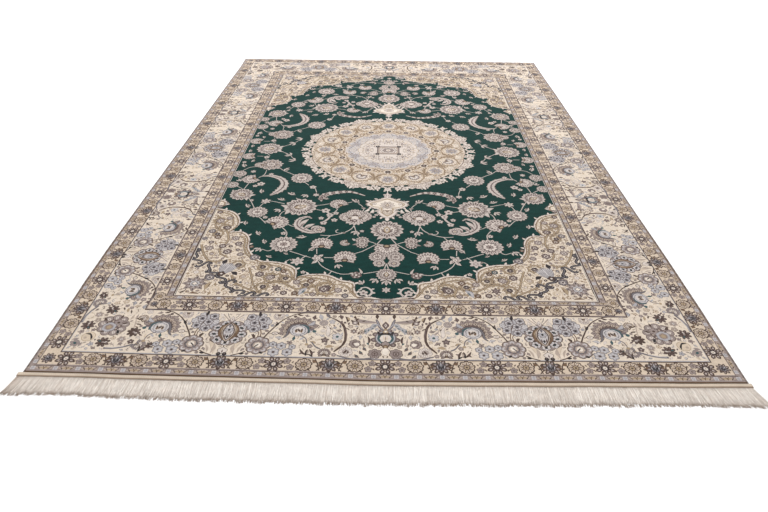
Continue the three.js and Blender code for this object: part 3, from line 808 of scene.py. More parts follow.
def borders():
    mid = lambda band: (band[0] + band[1]) / 2
    rows = bands([
        ("brown", -5, -5), ("mauve", 1.6, 1.2), ("mauve", 5, 4.4), ("umber", 18, 20.4), ("mauve", 19.2, 22.5), ("tan", 20, 26.9),
        ("umber", 64.5, 75), ("sky", 67.5, 78.6), ("ground", 69.5, 82), ("umber", 242.6, 271.6), ("mauve", 245.4, 276),
        ("tan", 248.6, 279), ("umber", 288, 326.4), ("mauve", 291, 330), ("umber", 308, 345.3), ("ivory", 312, 349), ("green", 314, 351)])
    stripes = along_end(stripe(1000, 14.9, 127), 1000 - 127 * 8, mid(END["stripe"]))
    side_stripes = kept(along_side(stripe(1500, 13, 136), mid(SIDE["stripe"]), 1500 - 136 * 11), y0=20)
    small = kept(along_end(stripe(1000, 13, 127), 1000 - 127 * 8, mid(END["small"])), x0=294)
    side_small = kept(along_side(stripe(1500, 15, 136), mid(SIDE["small"]), 1500 - 136 * 11), y0=346)
    main_v, main_x = mid(END["main"]), mid(SIDE["main"])
    half_oval, half_lotus, middle_oval, middle_lotus = oval_side(), lotus_side(), border_oval(), border_lotus()
    half_oval += sprinkle(middle_oval + half_oval, 0, (-240, -94), (-3, 94), FILL, 3)
    half_lotus += sprinkle(middle_lotus + half_lotus, 0, (-234, -94), (-3, 94), FILL, 4)
    oval_group, lotus_group = middle_oval + both(half_oval), middle_lotus + both(half_lotus)
    corners = corner()
    corners += sprinkle(corners + kept(along_end(oval_group, 527, main_v), x1=330) + kept(along_side(oval_group, main_x, 566, 0.93), y1=350), 0, (72, 85), (285, 335), FILL, 5)
    main = kept(corners, x1=243) + kept(corners, x0=243, y1=271) + along_end(lotus_group, 1000, main_v) + along_end(oval_group, 527, main_v)
    side_main = along_side(lotus_group, main_x, 1030, 0.93) + along_side(oval_group, main_x, 566, 0.93) + along_side(oval_group, main_x, 1500, 0.93)
    near_guard = along_end(guard([92, 378, 684, 1000, 1316]), 0, mid(END["guard"])) + kept(along_end(guard([67, 375, 683, 1000, 1317]), 0, mid(END["inner"])), x0=280)
    side_guard = along_side(guard([117, 424, 731, 1039, 1346, 1654], 0.94), mid(SIDE["guard"]), 0)
    side_guard += kept(along_side(guard([117, 424, 731, 1039, 1346, 1654], 0.86), mid(SIDE["inner"]), 0), y0=330)
    near_guard += corner_floret(42, 51) + place(corner_floret(0, 0), 263, 303, size=0.72)
    return dict(ground=rows, stripes=stripes, side_stripes=side_stripes, small=small, side_small=side_small, main=main, side_main=side_main, guards=near_guard, side_guards=side_guard)


KINDS = dict(
    lotus=lotus, palmette=palmette, rosette=rosette, bunch=bunch, star=star, floret=floret, trefoil=trefoil, feather=feather,
    chain=chain, curl=curl, hook=hook, leafy=lambda r: leafy(r), twins=lambda r: twins(r), seed=dart,
    threefold=lambda r: threefold(r), goldleaf=lambda r: leaf("gold", (0, -r), (0, r), r * 0.7, 0.1, "umber", 1.2),
    beak=lambda r: beak(r), full=full,
)


def leafy(r):
    """Five uneven leaves about a small flower."""
    rows = []
    for turn, long in ((150, 1.5), (-140, 1.2), (-35, 1.1), (30, 1.0), (85, 0.9)):
        rows += place(leaf("ivory", (0, 0), (0, r * long), r * 0.55, 0.08, "brown", 1.3) + leaf("mauve", (0, r * 0.3), (0, r * long * 0.75), r * 0.14), turn=turn)
    return rows + floret(r * 0.36, "cream", "umber", "brown", 6)


def twins(r):
    """Two round flowers grown together."""
    rows = leaf("ivory", (-r * 0.5, r * 0.3), (-r * 1.25, r * 0.8), r * 0.32, 0.1, "brown", 1.2) + leaf("beige", (-r * 0.5, -r * 0.2), (-r * 1.15, -r * 0.6), r * 0.28, 0.1, "brown", 1.2)
    return rows + place(full(r * 0.8, count=12), 0, r * 0.42) + place(full(r * 0.7, count=11), 0, -r * 0.52)


def threefold(r):
    """A large lotus of three round petals above a striped fan."""
    rows = []
    for k in range(-3, 4):
        a = math.radians(180 + k * 21)
        rows += leaf("ivory", (0, -r * 0.1), (math.sin(a) * r * 0.85, math.cos(a) * r), r * 0.34, 0, "brown", 1.4, belly=0.6)
        rows += leaf("mauve", (0, -r * 0.3), (math.sin(a) * r * 0.6, math.cos(a) * r * 0.74), r * 0.09)
    for x, y, t, s in ((-0.52, 0.1, 62, 0.56), (0.52, 0.22, -52, 0.62), (-0.02, 0.5, 4, 0.6)):
        rows += place(lotus(r * s, "ivory", "mauve", "brown", "brown"), r * x, r * y, -t * -1)
    rows += lobed("cream", 7, r * 0.26, r * 0.2, ink="mauve", line=1.6)
    return rows + lobed("mauve", 6, r * 0.17, r * 0.12, (0, -r * 0.38), ink="umber") + oval("ivory", r * 0.08, at=(0, -r * 0.38))


def beak(r):
    """A small flower with one hooked leaf rising from it."""
    rows = sickle("ivory", [(r * 0.3, r * 0.2), (r * 0.85, r * 0.9), (r * 0.4, r * 1.9)], [r * 0.7, r * 0.44, r * 0.08], "brown", 1.3)
    rows += lobed("mauve", 7, r * 0.95, r * 0.78, ink="brown", line=1.4) + around(oval("ivory", r * 0.17, at=(0, r * 0.62)), 5, 90)
    return rows + leaf("ivory", (-r * 0.4, r * 0.2), (-r * 1.2, r * 0.5), r * 0.4, -0.1, "brown", 1.2) + oval("umber", r * 0.36) + oval("cream", r * 0.24)


# Flowers of the green ground in one quarter: kind, x, y, radius, turn.
FIELD = [
    ("palmette", 1000, 773, 60, 0), ("lotus", 1000, 640, 44, 180), ("palmette", 1000, 484, 33, 0), ("star", 1000, 398, 15, 0),
    ("trefoil", 1000, 437, 13, 180), ("floret", 1000, 1046, 18, 0), ("seed", 1000, 596, 8, 0),
    ("full", 967, 590, 30, 0), ("rosette", 974, 550, 22, 0), ("trefoil", 960, 448, 13, 150),
    ("twins", 909, 682, 31, 0), ("lotus", 846, 676, 18, 118), ("beak", 897, 478, 20, 0), ("curl", 928, 386, 25, 0), ("trefoil", 915, 437, 12, 30),
    ("star", 877, 431, 16, 0), ("lotus", 852, 581, 39, 0), ("trefoil", 832, 527, 12, 200), ("leafy", 757, 574, 26, 0), ("star", 686, 553, 25, 0),
    ("floret", 714, 489, 9, 0), ("seed", 664, 560, 7, 40), ("lotus", 762, 667, 39, 0), ("seed", 727, 630, 17, -35), ("palmette", 648, 937, 63, -70),
    ("lotus", 800, 966, 35, 40), ("threefold", 873, 858, 58, 0), ("chain", 768, 860, 50, 0), ("feather", 698, 793, 66, 0), ("seed", 682, 713, 19, 100),
    ("seed", 836, 745, 9, 60), ("trefoil", 881, 747, 14, 160), ("lotus", 573, 814, 44, -50), ("full", 622, 661, 50, 20), ("seed", 871, 994, 22, 50),
    ("floret", 940, 905, 9, 0), ("floret", 957, 884, 8, 0), ("floret", 948, 868, 7, 0), ("seed", 905, 935, 10, 70), ("palmette", 424, 1500, 57, 90),
    ("trefoil", 527, 1435, 17, 60), ("trefoil", 553, 1377, 17, 70), ("lotus", 346, 1412, 32, 100), ("floret", 428, 1403, 14, 0), ("bunch", 462, 1324, 52, 0), ("lotus", 412, 1319, 24, 90),
    ("seed", 342, 1310, 20, 20), ("seed", 540, 1274, 20, -30), ("full", 339, 1226, 30, 0), ("lotus", 400, 1176, 37, 120), ("full", 620, 1192, 46, 0),
    ("floret", 451, 1131, 17, 0), ("floret", 430, 1112, 11, 0), ("full", 330, 1120, 27, 0), ("palmette", 388, 1035, 46, 60), ("floret", 679, 1109, 15, 0),
    ("seed", 598, 1046, 20, 60), ("seed", 467, 1064, 18, 10), ("seed", 563, 997, 18, 70), ("star", 500, 979, 21, 0), ("full", 482, 890, 40, 10),
    ("seed", 434, 938, 17, 30), ("seed", 453, 804, 15, 10), ("seed", 516, 732, 17, 30), ("seed", 549, 675, 16, 20), ("trefoil", 535, 622, 13, 150),
    ("seed", 583, 579, 13, 60), ("trefoil", 560, 905, 13, 140), ("floret", 520, 850, 10, 0), ("star", 700, 1040, 14, 0), ("trefoil", 655, 1030, 13, 150),
    ("floret", 610, 735, 11, 0), ("seed", 640, 600, 10, 60), ("floret", 500, 1290, 9, 0), ("star", 395, 1250, 13, 0), ("seed", 372, 1360, 14, -20),
    ("floret", 480, 1225, 11, 0), ("trefoil", 352, 1165, 12, 30), ("seed", 350, 1060, 14, 20), ("floret", 440, 985, 9, 0), ("seed", 745, 1010, 14, 80),
    ("floret", 335, 1345, 10, 0), ("floret", 395, 1460, 9, 0), ("seed", 337, 1470, 15, 0), ("floret", 905, 760, 8, 0), ("star", 930, 990, 12, 0),
]
# Stems of the green ground: width and the points that they pass.
STEMS = [
    (3.2, (985, 714), (966, 676), (941, 651), (912, 622), (880, 604)), (3.2, (1000, 548), (990, 512), (968, 500), (944, 492), (921, 486)),
    (3.4, (873, 802), (864, 775), (834, 743), (788, 724), (750, 726)), (3, (788, 724), (776, 706), (766, 700)), (3, (834, 742), (812, 744), (805, 758), (814, 768)),
    (3, (872, 800), (878, 776), (884, 750), (893, 722)), (3, (930, 690), (952, 680), (974, 664)), (3.2, (650, 616), (678, 603), (705, 588), (730, 578)),
    (3, (746, 634), (750, 600)), (3, (778, 579), (812, 579)), (3.2, (758, 558), (770, 533), (788, 514), (811, 498), (845, 482), (878, 484)),
    (3, (640, 540), (654, 560), (668, 560)), (3, (811, 498), (806, 484), (800, 478)), (3.2, (714, 590), (700, 572), (696, 560)),
    (3.2, (745, 905), (730, 912), (706, 920)), (3, (762, 966), (735, 955), (712, 950)), (3.2, (800, 925), (790, 900), (778, 890)), (3.2, (655, 780), (630, 790), (612, 806)),
    (3.2, (622, 708), (622, 740), (600, 775), (580, 786)), (3, (573, 856), (580, 890), (600, 915)), (3, (530, 805), (505, 840), (490, 856)), (3, (482, 928), (490, 955), (498, 968)),
    (3.2, (420, 1010), (440, 975), (462, 925)), (3, (388, 1080), (392, 1110), (398, 1140)), (3, (365, 1180), (345, 1190), (338, 1200)), (3, (430, 1190), (450, 1220), (452, 1268)),
    (3, (400, 1300), (370, 1290), (345, 1255)), (3, (430, 1375), (426, 1390)), (3, (410, 1412), (380, 1412)), (3, (424, 1442), (440, 1420)), (3, (480, 1480), (505, 1455), (520, 1446)),
    (3, (540, 1420), (552, 1395)), (3.2, (590, 1215), (560, 1240), (530, 1262), (500, 1300)), (3.2, (640, 1150), (660, 1125)), (3, (690, 1100), (700, 1060)), (3, (620, 1010), (640, 990)),
    (3, (580, 960), (540, 975), (515, 982)), (3.2, (900, 908), (905, 925), (898, 950), (880, 975)), (3, (835, 975), (855, 985)), (3, (350, 1110), (380, 1085)), (3, (600, 640), (575, 615), (548, 625)),
]
# Long curved leaves of the green ground: the widths along each, then its points.
SICKLES = [
    ((4, 20, 26, 22, 18, 12, 4), (728, 986), (724, 1012), (744, 1046), (800, 1068), (850, 1070), (906, 1040)),
    ((4, 16, 24, 27, 30, 34, 26, 6), (443, 1204), (478, 1210), (524, 1188), (549, 1150), (552, 1108), (536, 1066), (508, 1030)),
    ((3, 14, 17, 10, 3), (326, 990), (334, 968), (346, 950), (332, 930)),
]
# The line of scallops between the corner piece and the green ground.
SCALLOPS = [
    (300, 1012), (315, 985), (340, 968), (338, 938), (312, 916), (345, 905), (391, 884), (420, 840), (428, 790), (408, 736), (440, 742), (470, 728), (490, 690),
    (496, 640), (512, 603), (540, 566), (563, 550), (611, 546), (659, 531), (688, 502), (694, 452), (716, 470), (760, 478), (804, 474), (848, 446), (890, 434),
    (894, 396), (912, 362), (952, 358), (1000, 342),
]
# Flowers of the corner piece: kind, x, y, radius, turn, then its yarns.
CORNER = [
    ("floret", 428, 605, 14, 0, "plum"), ("floret", 359, 626, 13, 20, "mauve"), ("floret", 532, 573, 15, 0, "slate"), ("floret", 568, 472, 13, 10, "plum"),
    ("floret", 404, 450, 15, 0, "slate"), ("floret", 439, 694, 13, 0, "mauve"), ("floret", 458, 658, 12, 30, "plum"), ("floret", 353, 818, 14, 0, "mauve"),
    ("floret", 403, 641, 12, 0, "plum"), ("star", 637, 398, 17, 0, "plum"), ("floret", 607, 455, 12, 0, "mauve"), ("floret", 664, 373, 10, 0, "plum"),
    ("floret", 647, 492, 9, 0, "brown"), ("floret", 627, 503, 10, 0, "teal"), ("floret", 794, 397, 15, 0, "plum"), ("floret", 700, 432, 11, 0, "mauve"),
    ("floret", 747, 440, 11, 0, "brown"), ("floret", 842, 392, 11, 0, "mauve"), ("floret", 866, 364, 10, 0, "slate"), ("floret", 340, 742, 12, 0, "slate"),
    ("floret", 372, 700, 11, 0, "brown"), ("floret", 335, 884, 10, 0, "plum"), ("floret", 385, 838, 11, 0, "mauve"), ("floret", 392, 768, 12, 0, "plum"),
    ("star", 326, 690, 13, 0, "slate"), ("floret", 478, 590, 10, 0, "mauve"), ("floret", 700, 372, 9, 0, "brown"), ("floret", 760, 368, 9, 0, "mauve"),
    ("floret", 920, 350, 8, 0, "plum"), ("floret", 325, 930, 9, 0, "mauve"), ("floret", 508, 640, 7, 0, "brown"),
]
# Gold scrolls of the corner piece: width, and the points that they pass.
SCROLLS = [
    (6, (324, 650), (336, 615), (350, 585), (372, 552), (402, 540), (424, 552)), (6, (475, 466), (484, 440), (500, 418), (528, 400), (566, 378), (600, 366)),
    (5, (524, 512), (534, 485), (546, 450), (556, 415), (574, 394)), (6, (372, 800), (392, 748), (408, 712), (414, 668), (398, 622), (408, 590), (440, 568)),
    (5, (330, 860), (345, 830), (340, 792), (352, 762), (378, 740)), (6, (600, 420), (640, 430), (676, 412), (700, 396), (740, 400), (776, 420), (810, 430)),
    (5, (690, 362), (730, 378), (775, 370), (820, 374), (850, 400)), (5, (560, 530), (600, 528), (640, 512), (672, 488), (680, 452)),
    (5, (450, 712), (474, 690), (482, 640), (496, 598), (530, 556)), (5, (700, 462), (740, 458), (780, 452), (820, 436)),
    (5, (318, 905), (350, 882), (388, 858), (402, 820), (408, 780)), (5, (840, 425), (870, 414), (884, 386), (900, 362)),
]
RIBBON = [
    (304, 640), (316, 612), (326, 590), (318, 572), (330, 556), (342, 536), (354, 523), (377, 526), (392, 512), (386, 496), (404, 486), (420, 468), (436, 460),
    (444, 444), (457, 426), (472, 434), (479, 410), (482, 390), (496, 380), (510, 388), (522, 370), (540, 362), (572, 362), (606, 358),
]
RINGS = [(485, 524, 24), (572, 515, 22), (611, 458, 27), (591, 403, 21), (733, 418, 20), (802, 404, 32), (352, 820, 24), (384, 770, 21), (365, 722, 20), (660, 452, 19)]
SAND = [("gold", "brown"), ("tan", "gold"), ("tan", "brown"), ("beige", "brown"), ("gold", "brown"), ("mauve", "plum")]


def arabesque(path, width, yarn="gold", ink="brown"):
    """A tapering stem with small leaves on both sides."""
    rows = stroke(yarn, path, width, width * 0.7, ink, 1.7)
    p = smooth(path, spans=2)
    for i in range(1, len(p) - 1):
        d = (p[i + 1] - p[i - 1]) / max(math.hypot(*(p[i + 1] - p[i - 1])), 1e-6)
        side = 1 if i % 2 else -1
        out = np.array([-d[1], d[0]]) * side
        rows += leaf(yarn, tuple(p[i]), tuple(p[i] + (out * 1.5 + d) * width * 1.1), width * 0.9, 0.15 * side, ink, 1.2, n=4)
    return rows


def ring(x, y, r):
    """A curl of the gold scroll that ends round a dark flower."""
    rows = around(leaf("tan", (0, r * 0.3), (0, r * 0.74), r * 0.24, 0, "gold", 1.2, n=4), 6)
    rows += arabesque([polar(48 * k, r * (1.24 - 0.07 * k)) for k in range(9)], r * 0.24, ink="umber")
    flower = rosette(r * 0.44, "plum", "mauve", "ivory", "ink", 6) + leaf("ink", (0, 0), (r * 0.34, -r * 0.3), r * 0.24)
    return place(rows + flower, x, y, x * 7 % 360)


def toothed(line, yarn, ink, reach, width):
    """Small teeth along the outer side of a line."""
    rows = []
    for i in range(1, len(line) - 1):
        d = (line[i + 1] - line[i - 1]) / max(math.hypot(*(line[i + 1] - line[i - 1])), 1e-6)
        out = np.array([d[1], -d[0]])
        tip = out * reach * (1.6 if i % 5 == 0 else 0.4) + d * (9 if i % 5 == 0 else 0)
        rows += leaf(yarn, tuple(line[i] - out * 3), tuple(line[i] + tip), width, 0, ink, 1.5, n=4)
    return rows


def ribbon():
    """The dark ribbon across the corner: a running row of S-shaped scrolls."""
    wave = [(-27, -3), (-20, -12), (-9, -9), (0, 0), (9, 9), (20, 12), (27, 3), (18, -1)]
    scroll_ = stroke("ink", wave, 12, 9, spans=3) + stroke("slate", wave, 4, 2.4, spans=3)
    p = smooth(RIBBON, spans=3)
    far = np.r_[0, np.cumsum(np.hypot(*np.diff(p, axis=0).T))]
    rows = []
    for at in np.arange(16, far[-1], 43):
        here, ahead = (np.array([np.interp(at + step, far, p[:, 0]), np.interp(at + step, far, p[:, 1])]) for step in (-9, 9))
        rows += place(scroll_, *((here + ahead) / 2), math.degrees(math.atan2(*(ahead - here)[::-1])))
    return rows


def fan():
    """An open fan of pale stripes with dark buds about it."""
    rows = leaf("ink", (-22, 20), (-28, 50), 16, 0.1, "plum", 1.8) + leaf("ink", (26, -8), (52, -18), 15, 0.1, "plum", 1.8)
    for k in (-4, 4, -3, 3, -2, 2, -1, 1, 0):
        rows += leaf("mist", (k * 2, -30), (k * 7.4, 38 - abs(k) * 3), 9, 0, "slate", 2.4) + leaf("slate", (k * 2.4, -20), (k * 6.4, 26 - abs(k) * 3), 2, n=3)
    return rows + lobed("umber", 5, 13, 9, (0, -30), ink="ink") + oval("ivory", 4.4, at=(0, -30), n=6)


def corner_piece():
    edge = smooth(SCALLOPS, spans=4)
    ground = np.vstack([edge, [(1000, 300), (270, 300), (270, 1012)]])
    rows = toothed(edge[::-1], "ivory", "umber", 10.5, 8.5) + stroke("umber", SCALLOPS, 7, spans=3) + [("ground", ground)]
    free = len(rows)
    rows += stroke("ivory", SCALLOPS, 4.4, spans=3)
    inner = [(x - 4, y - 6) for x, y in SCALLOPS]
    rows += toothed(smooth(inner, spans=3)[::-1], "mauve", "umber", 3, 4.4) + arabesque(inner, 2.2)
    for width, *path in SCROLLS:
        rows += arabesque(path, width + 0.5, ink="umber")
    for x, y, r in RINGS:
        rows += ring(x, y, r)
    rows += ribbon() + place(fan(), 448, 500, -20)
    rows += leaf("sky", (716, 362), (738, 402), 18, 0.1, "slate", 1.5) + leaf("teal", (722, 372), (732, 392), 6) + leaf("mist", (712, 368), (728, 396), 4)
    great = around(leaf("mauve", (0, 6), (0, 41), 19, 0, "umber", 2.2) + leaf("ink", (0, 26), (0, 37), 5) + leaf("mist", (0, 14), (0, 25), 5), 8)
    great += lobed("mist", 8, 17, 14, ink="umber") + lobed("sky", 8, 12, 10, ink="slate", line=1.4) + lobed("cream", 4, 8, 5, ink="umber")
    rows += place(great, 363, 414) + place(rosette(16, "mauve", "ivory", "umber", "ink", 6), 402, 456)
    rows += leaf("gold", (404, 382), (418, 424), 15, 0.12, "umber", 1.6) + leaf("brown", (410, 390), (414, 416), 5)
    rows += leaf("brown", (318, 388), (316, 440), 10, 0.08) + leaf("brown", (352, 360), (392, 358), 9, 0.1) + leaf("umber", (325, 360), (342, 376), 8)
    for kind, x, y, r, turn, yarn in CORNER:
        rows += place(rosette(r * 1.1, yarn, "ivory", "umber", "umber", 6) if kind == "floret" else star(r, yarn, "mauve", "umber"), x, y, turn)
    rows += sprinkle(rows, free, (318, 353), (985, 1008), tinted([scroll], [("gold", "brown"), ("tan", "gold"), ("tan", "brown")]), 6, 9.5, 25, 0.8)
    return rows + sprinkle(rows, free, (318, 353), (985, 1008), tinted([bud, spray, bud, blossom], SAND), 7, 3.4, 10, 1.0)


def pendant():
    """The gold cartouche between the medallion and the first palmette."""
    edge = [(0, 862), (20, 872), (36, 900), (32, 925), (58, 940), (84, 966), (72, 990), (48, 1000), (30, 1012), (0, 1030)]
    left, right = [(1000 - x, y) for x, y in edge], [(1000 + x, y) for x, y in edge[-2:0:-1]]
    line = smooth(left + right, closed=True, spans=3)
    rows = toothed(line[::-1], "ivory", "umber", 12, 10)
    for yarn, step in (("umber", 0.035), ("ivory", 0), ("gold", -0.2), ("cream", -0.25)):
        rows += [(yarn, line + (line - (1000, 950)) * step)]
    rows += both_about(1000, stroke("gold", [(1000, 1018), (968, 1002), (930, 975), (945, 950), (975, 942), (978, 915), (985, 890), (1000, 874)], 4.5))
    rows += place(palmette(27, "ivory", "mauve", "cream", "gold", "brown", 9), 1000, 962) + place(lotus(19, "ivory", "gold", "brown", "brown"), 1000, 908, 180)
    rows += both_about(1000, place(floret(9, "ivory", "mauve", "brown"), 946, 972) + leaf("gold", (962, 940), (976, 928), 6))
    rows += both_about(1000, leaf("ivory", (926, 935), (906, 908), 12, 0.2, "brown", 1.2) + leaf("ivory", (942, 928), (930, 900), 11, 0.2, "brown", 1.2))
    return rows + leaf("ivory", (1000, 868), (1000, 836), 16, 0, "brown", 1.4) + stroke("ivory", [(1000, 1025), (1000, 1100)], 4)


def both_about(x, rows):
    return rows + [(yarn, np.c_[2 * x - pts[:, 0], pts[:, 1]]) for yarn, pts in rows]


def garland():
    """Half of a chain of small flowers outside the medallion's edge."""
    rows = []
    for k in range(5):
        a, r = k * 4.4 + (2.2 if k else 0), (400, 392)[k % 2]
        one = leaf("ivory", (8, 10), (17, 21), 8, 0, "brown", 1.2, n=4) + leaf("ivory", (-8, -10), (-16, -20), 7, 0, "brown", 1.2, n=4)
        one += lobed("ivory", 5, 15, 11, ink="brown", line=1.4) + around(leaf("mauve", (0, 4), (0, 11), 2.8, n=3), 5) + oval("umber", 4, n=6) + oval("ivory", 1.6, n=4)
        rows += place(one, *polar(a, r), a + 40 * k)
    return both(rows + leaf("ivory", (0, 384), (34, 380), 7, 0, "brown", 1.1, n=4) + leaf("ivory", (40, 382), (76, 374), 7, 0, "brown", 1.1, n=4))


def crest():
    """A point of the medallion's star."""
    rows = place(lotus(34, "ivory", "mauve", "gold", "brown", 11), 0, 378) + leaf("ivory", (0, 400), (0, 430), 12, 0, "brown", 1.2)
    return rows + both(place(lotus(17, "ivory", "mauve", "beige", "brown", 7), 40, 376, 8) + leaf("ivory", (56, 378), (80, 384), 11, 0.1, "brown", 1.1))


def band(great):
    """One sixteenth of the medallion's wide band: a palmette in a frame of scrolls above a dark flower."""
    rows = wedge("tan", 205, 366, -11.3, 11.3)
    frame = [polar(a, r) for a, r in ((1, 256), (5, 262), (8.6, 280), (9.0, 306), (6.6, 330), (3, 344), (0, 360))]
    rows += both(arabesque(frame, 3.4)) + both(arabesque([polar(11, 352), polar(8, 358), polar(4, 356), polar(2, 350)], 2.6, "cream"))
    rows += place(petals(24, 5, 160, 3, 11, "cream", "brown", "gold", 1.3), *polar(11.25, 334), 11.25)
    rows += place(petals(24, 5, 160, 3, 11, "cream", "brown", "gold", 1.3), *polar(-11.25, 334), -11.25)
    rows += place(around(leaf("cream", (0, 22), (0, 38), 12, 0, "brown", 1.4) + leaf("gold", (0, 25), (0, 33), 4), 11), 0, 308)
    rows += both(arabesque([polar(a, r) for a, r in ((10.6, 322), (10.8, 300), (9.6, 276), (7.4, 262), (6.6, 272), (8, 280))], 2.6))
    rows += both(arabesque([polar(a, r) for a, r in ((3, 220), (7, 214), (10.4, 222), (9.6, 236), (6.4, 236), (6.2, 228))], 2.6))
    if great:
        rows += place(palmette(26, "sky", "plum", "mist", "gold", "mauve", 9), 0, 309)
    else:
        rows += place(lotus(24, "mauve", "mist", "plum", "umber", 9), 0, 306)
    rows += place(around(leaf("cream", (0, 8), (0, 21), 10, 0, "brown", 1.3), 6) + rosette(12, "umber" if great else "plum", "mauve", "ivory", "ink", 6), 0, 234)
    half = rows + wedge("umber", 190, 380, 11.25, 40) + wedge("umber", 190, 380, -40, 0)
    tints = [("cream", "gold"), ("gold", "brown"), ("cream", "brown"), ("beige", "brown"), ("mauve", "plum"), ("ivory", "brown")]
    kinds = tinted([bud, spray, blossom, bud], tints)
    low, high = (0, 212), (74, 370)
    return rows + both(sprinkle(half, 1, low, high, kinds, 9, 2.6, 9, 0.6))


def blue_ring():
    """One eighth of the pale blue ring, with flowers over both its edges."""
    rows = wedge("mist", 142, 196, 0, 22.5) + both(place(rosette(19, "ivory", "sky", "beige", "slate", 8), 0, 172))
    rows += place(rosette(17, "sky", "mauve", "beige", "mauve", 7), *polar(22.5, 170))
    for a, r, yarn in ((6, 197, "ivory"), (17, 197, "tan"), (11.2, 148, "ivory")):
        rows += place(petals(15, 5, 180, 2, 7, yarn, "mauve", "beige", 1.2), *polar(a, r), a)
    tints = [("ivory", "mauve"), ("sky", "mauve"), ("tan", "mauve"), ("sky", "slate"), ("mauve", "plum")]
    return rows[1:] + sprinkle(rows, 1, (0, 140), (80, 200), tinted([bud, blossom, bud], tints), 9, 2.4, 8, 0.6)


def disc():
    """One eighth of the pale disc inside the blue ring."""
    rows = wedge("ivory", 1, 134, 0, 22.5) + oval("plum", 8, 7, (0, 98)) + oval("ivory", 3, at=(0, 98), n=6)
    rows += leaf("tan", (0, 110), (0, 134), 10, 0, "brown", 1.2, n=5) + oval("mauve", 8, at=polar(22.5, 108)) + oval("ivory", 3, at=polar(22.5, 108), n=6)
    rows += leaf("gold", polar(11, 116), polar(11, 134), 6, 0, "brown", 1.1, n=4)
    tints = [("mauve", "plum"), ("tan", "brown"), ("beige", "mauve"), ("mist", "mauve"), ("beige", "gold")]
    return rows[1:] + sprinkle(rows, 1, (0, 66), (60, 136), tinted([bud, bud, blossom], tints), 10, 3.0, 8, 2.6)


def heart():
    """The four-sided heart of the medallion."""
    rows = block("umber", -54, -45, 54, 45) + block("mauve", -51, -42, 51, 42) + block("beige", -46, -37, 46, 37)
    rows += both(leaf("ivory", (34, -34), (34, 34), 13, 0, "plum", 1.4) + leaf("mauve", (34, -22), (34, 22), 4))
    rows += lobed("ivory", 8, 37, 31, ink="plum", squash=0.9) + lobed("mauve", 8, 29, 23, ink="umber", line=1.2, squash=0.9)
    rows += around(leaf("plum", (0, 12), (0, 26), 6) + leaf("ivory", (0, 15), (0, 23), 2.4), 8) + lobed("ivory", 8, 13, 10, ink="umber") + oval("gold", 5)
    for x in (-52, 52):
        for y in (-43, 43):
            rows += lobed("ink", 4, 12, 8, (x, y), 45) + oval("mauve", 3.6, at=(x, y), n=6)
    return rows


def medallion():
    rows = around(garland(), 8) + around(crest(), 8, 22.5)
    rows += around(leaf("ivory", (0, 356), (0, 384), 15, 0, "brown", 1.4, n=5) + leaf("mauve", (0, 366), (0, 378), 4, n=3), 56, 3.2)
    rows += lobed("brown", 16, 374, 364, power=0.7) + lobed("ivory", 16, 370.5, 360.5, power=0.7) + lobed("brown", 16, 362, 352, power=0.7)
    rows += around(band(True), 8) + around(band(False), 8, 22.5)
    rows += lobed("brown", 16, 213, 203) + lobed("tan", 16, 210, 200) + lobed("mist", 16, 205, 195)
    rows += around(both(blue_ring()), 8) + lobed("gold", 16, 148, 140) + lobed("ivory", 16, 145, 137)
    return place(rows + around(both(disc()), 8) + heart(), 1000, 1500)


def sprig(r, pick):
    """A bent stem with three small leaves, for green ground that nothing else fills."""
    rows = stroke("shell", [(-r, -r * 0.3), (-r * 0.2, 0), (r * 0.5, -r * 0.1)], 3.4, 2.6, spans=2)
    for root, tip, width in (((0.2, -0.1), (1.1, 0.5), 0.5), ((-0.3, 0), (0.1, 0.9), 0.42), ((-0.4, -0.1), (0.1, -0.9), 0.42)):
        rows += leaf("shell", (r * root[0], r * root[1]), (r * tip[0], r * tip[1]), r * width, 0.1, "umber", 1.6, n=4)
    return rows


def field():
    rows = []
    for width, *path in STEMS:
        rows += stroke("ivory", path, width * 1.2, width)
    for k, (widths, *path) in enumerate(SICKLES):
        rows += plume(path, widths, flowers=k == 0)
    for kind, x, y, r, turn in FIELD:
        rows += place(KINDS[kind](r), x, y, turn)
    darker = {"ivory": "shell", "brown": "umber", "beige": "mauve", "cream": "ivory", "mauve": "plum"}
    rows = [(darker.get(yarn, yarn), p) for yarn, p in rows]
    rows += medallion() + pendant() + corner_piece()
    return rows + sprinkle(rows, 0, (290, 960), (1000, 1500), [sprig], 12, 14, 26, 12)


# The yarns of the pile, as they look in the picture: name, red, green, blue
YARNS = {
    "ground": (219, 204, 187), "tan": (208, 190, 170), "beige": (178, 162, 149), "ivory": (212, 200, 191), "cream": (226, 214, 201),
    "shell": (190, 178, 171), "mauve": (150, 136, 131), "plum": (108, 93, 90), "umber": (84, 69, 63), "brown": (114, 92, 75),
    "ink": (56, 52, 52), "sky": (171, 167, 169), "mist": (193, 187, 186), "slate": (114, 108, 111), "teal": (70, 90, 92),
    "gold": (167, 147, 122), "green": (17, 53, 49),
}
ORDER = list(YARNS)


def linear(rgb, light=1.0):
    c = np.array(rgb, float) / 255
    c = np.where(c <= 0.04045, c / 12.92, ((c + 0.055) / 1.055) ** 2.4)
    return tuple(float(v) for v in np.clip(c * light, 0, 1)) + (1.0,)


def node(tree, kind, **values):
    made = tree.nodes.new(kind)
    for name, value in values.items():
        if name in made.inputs:
            made.inputs[name].default_value = value
        else:
            setattr(made, name, value)
    return made


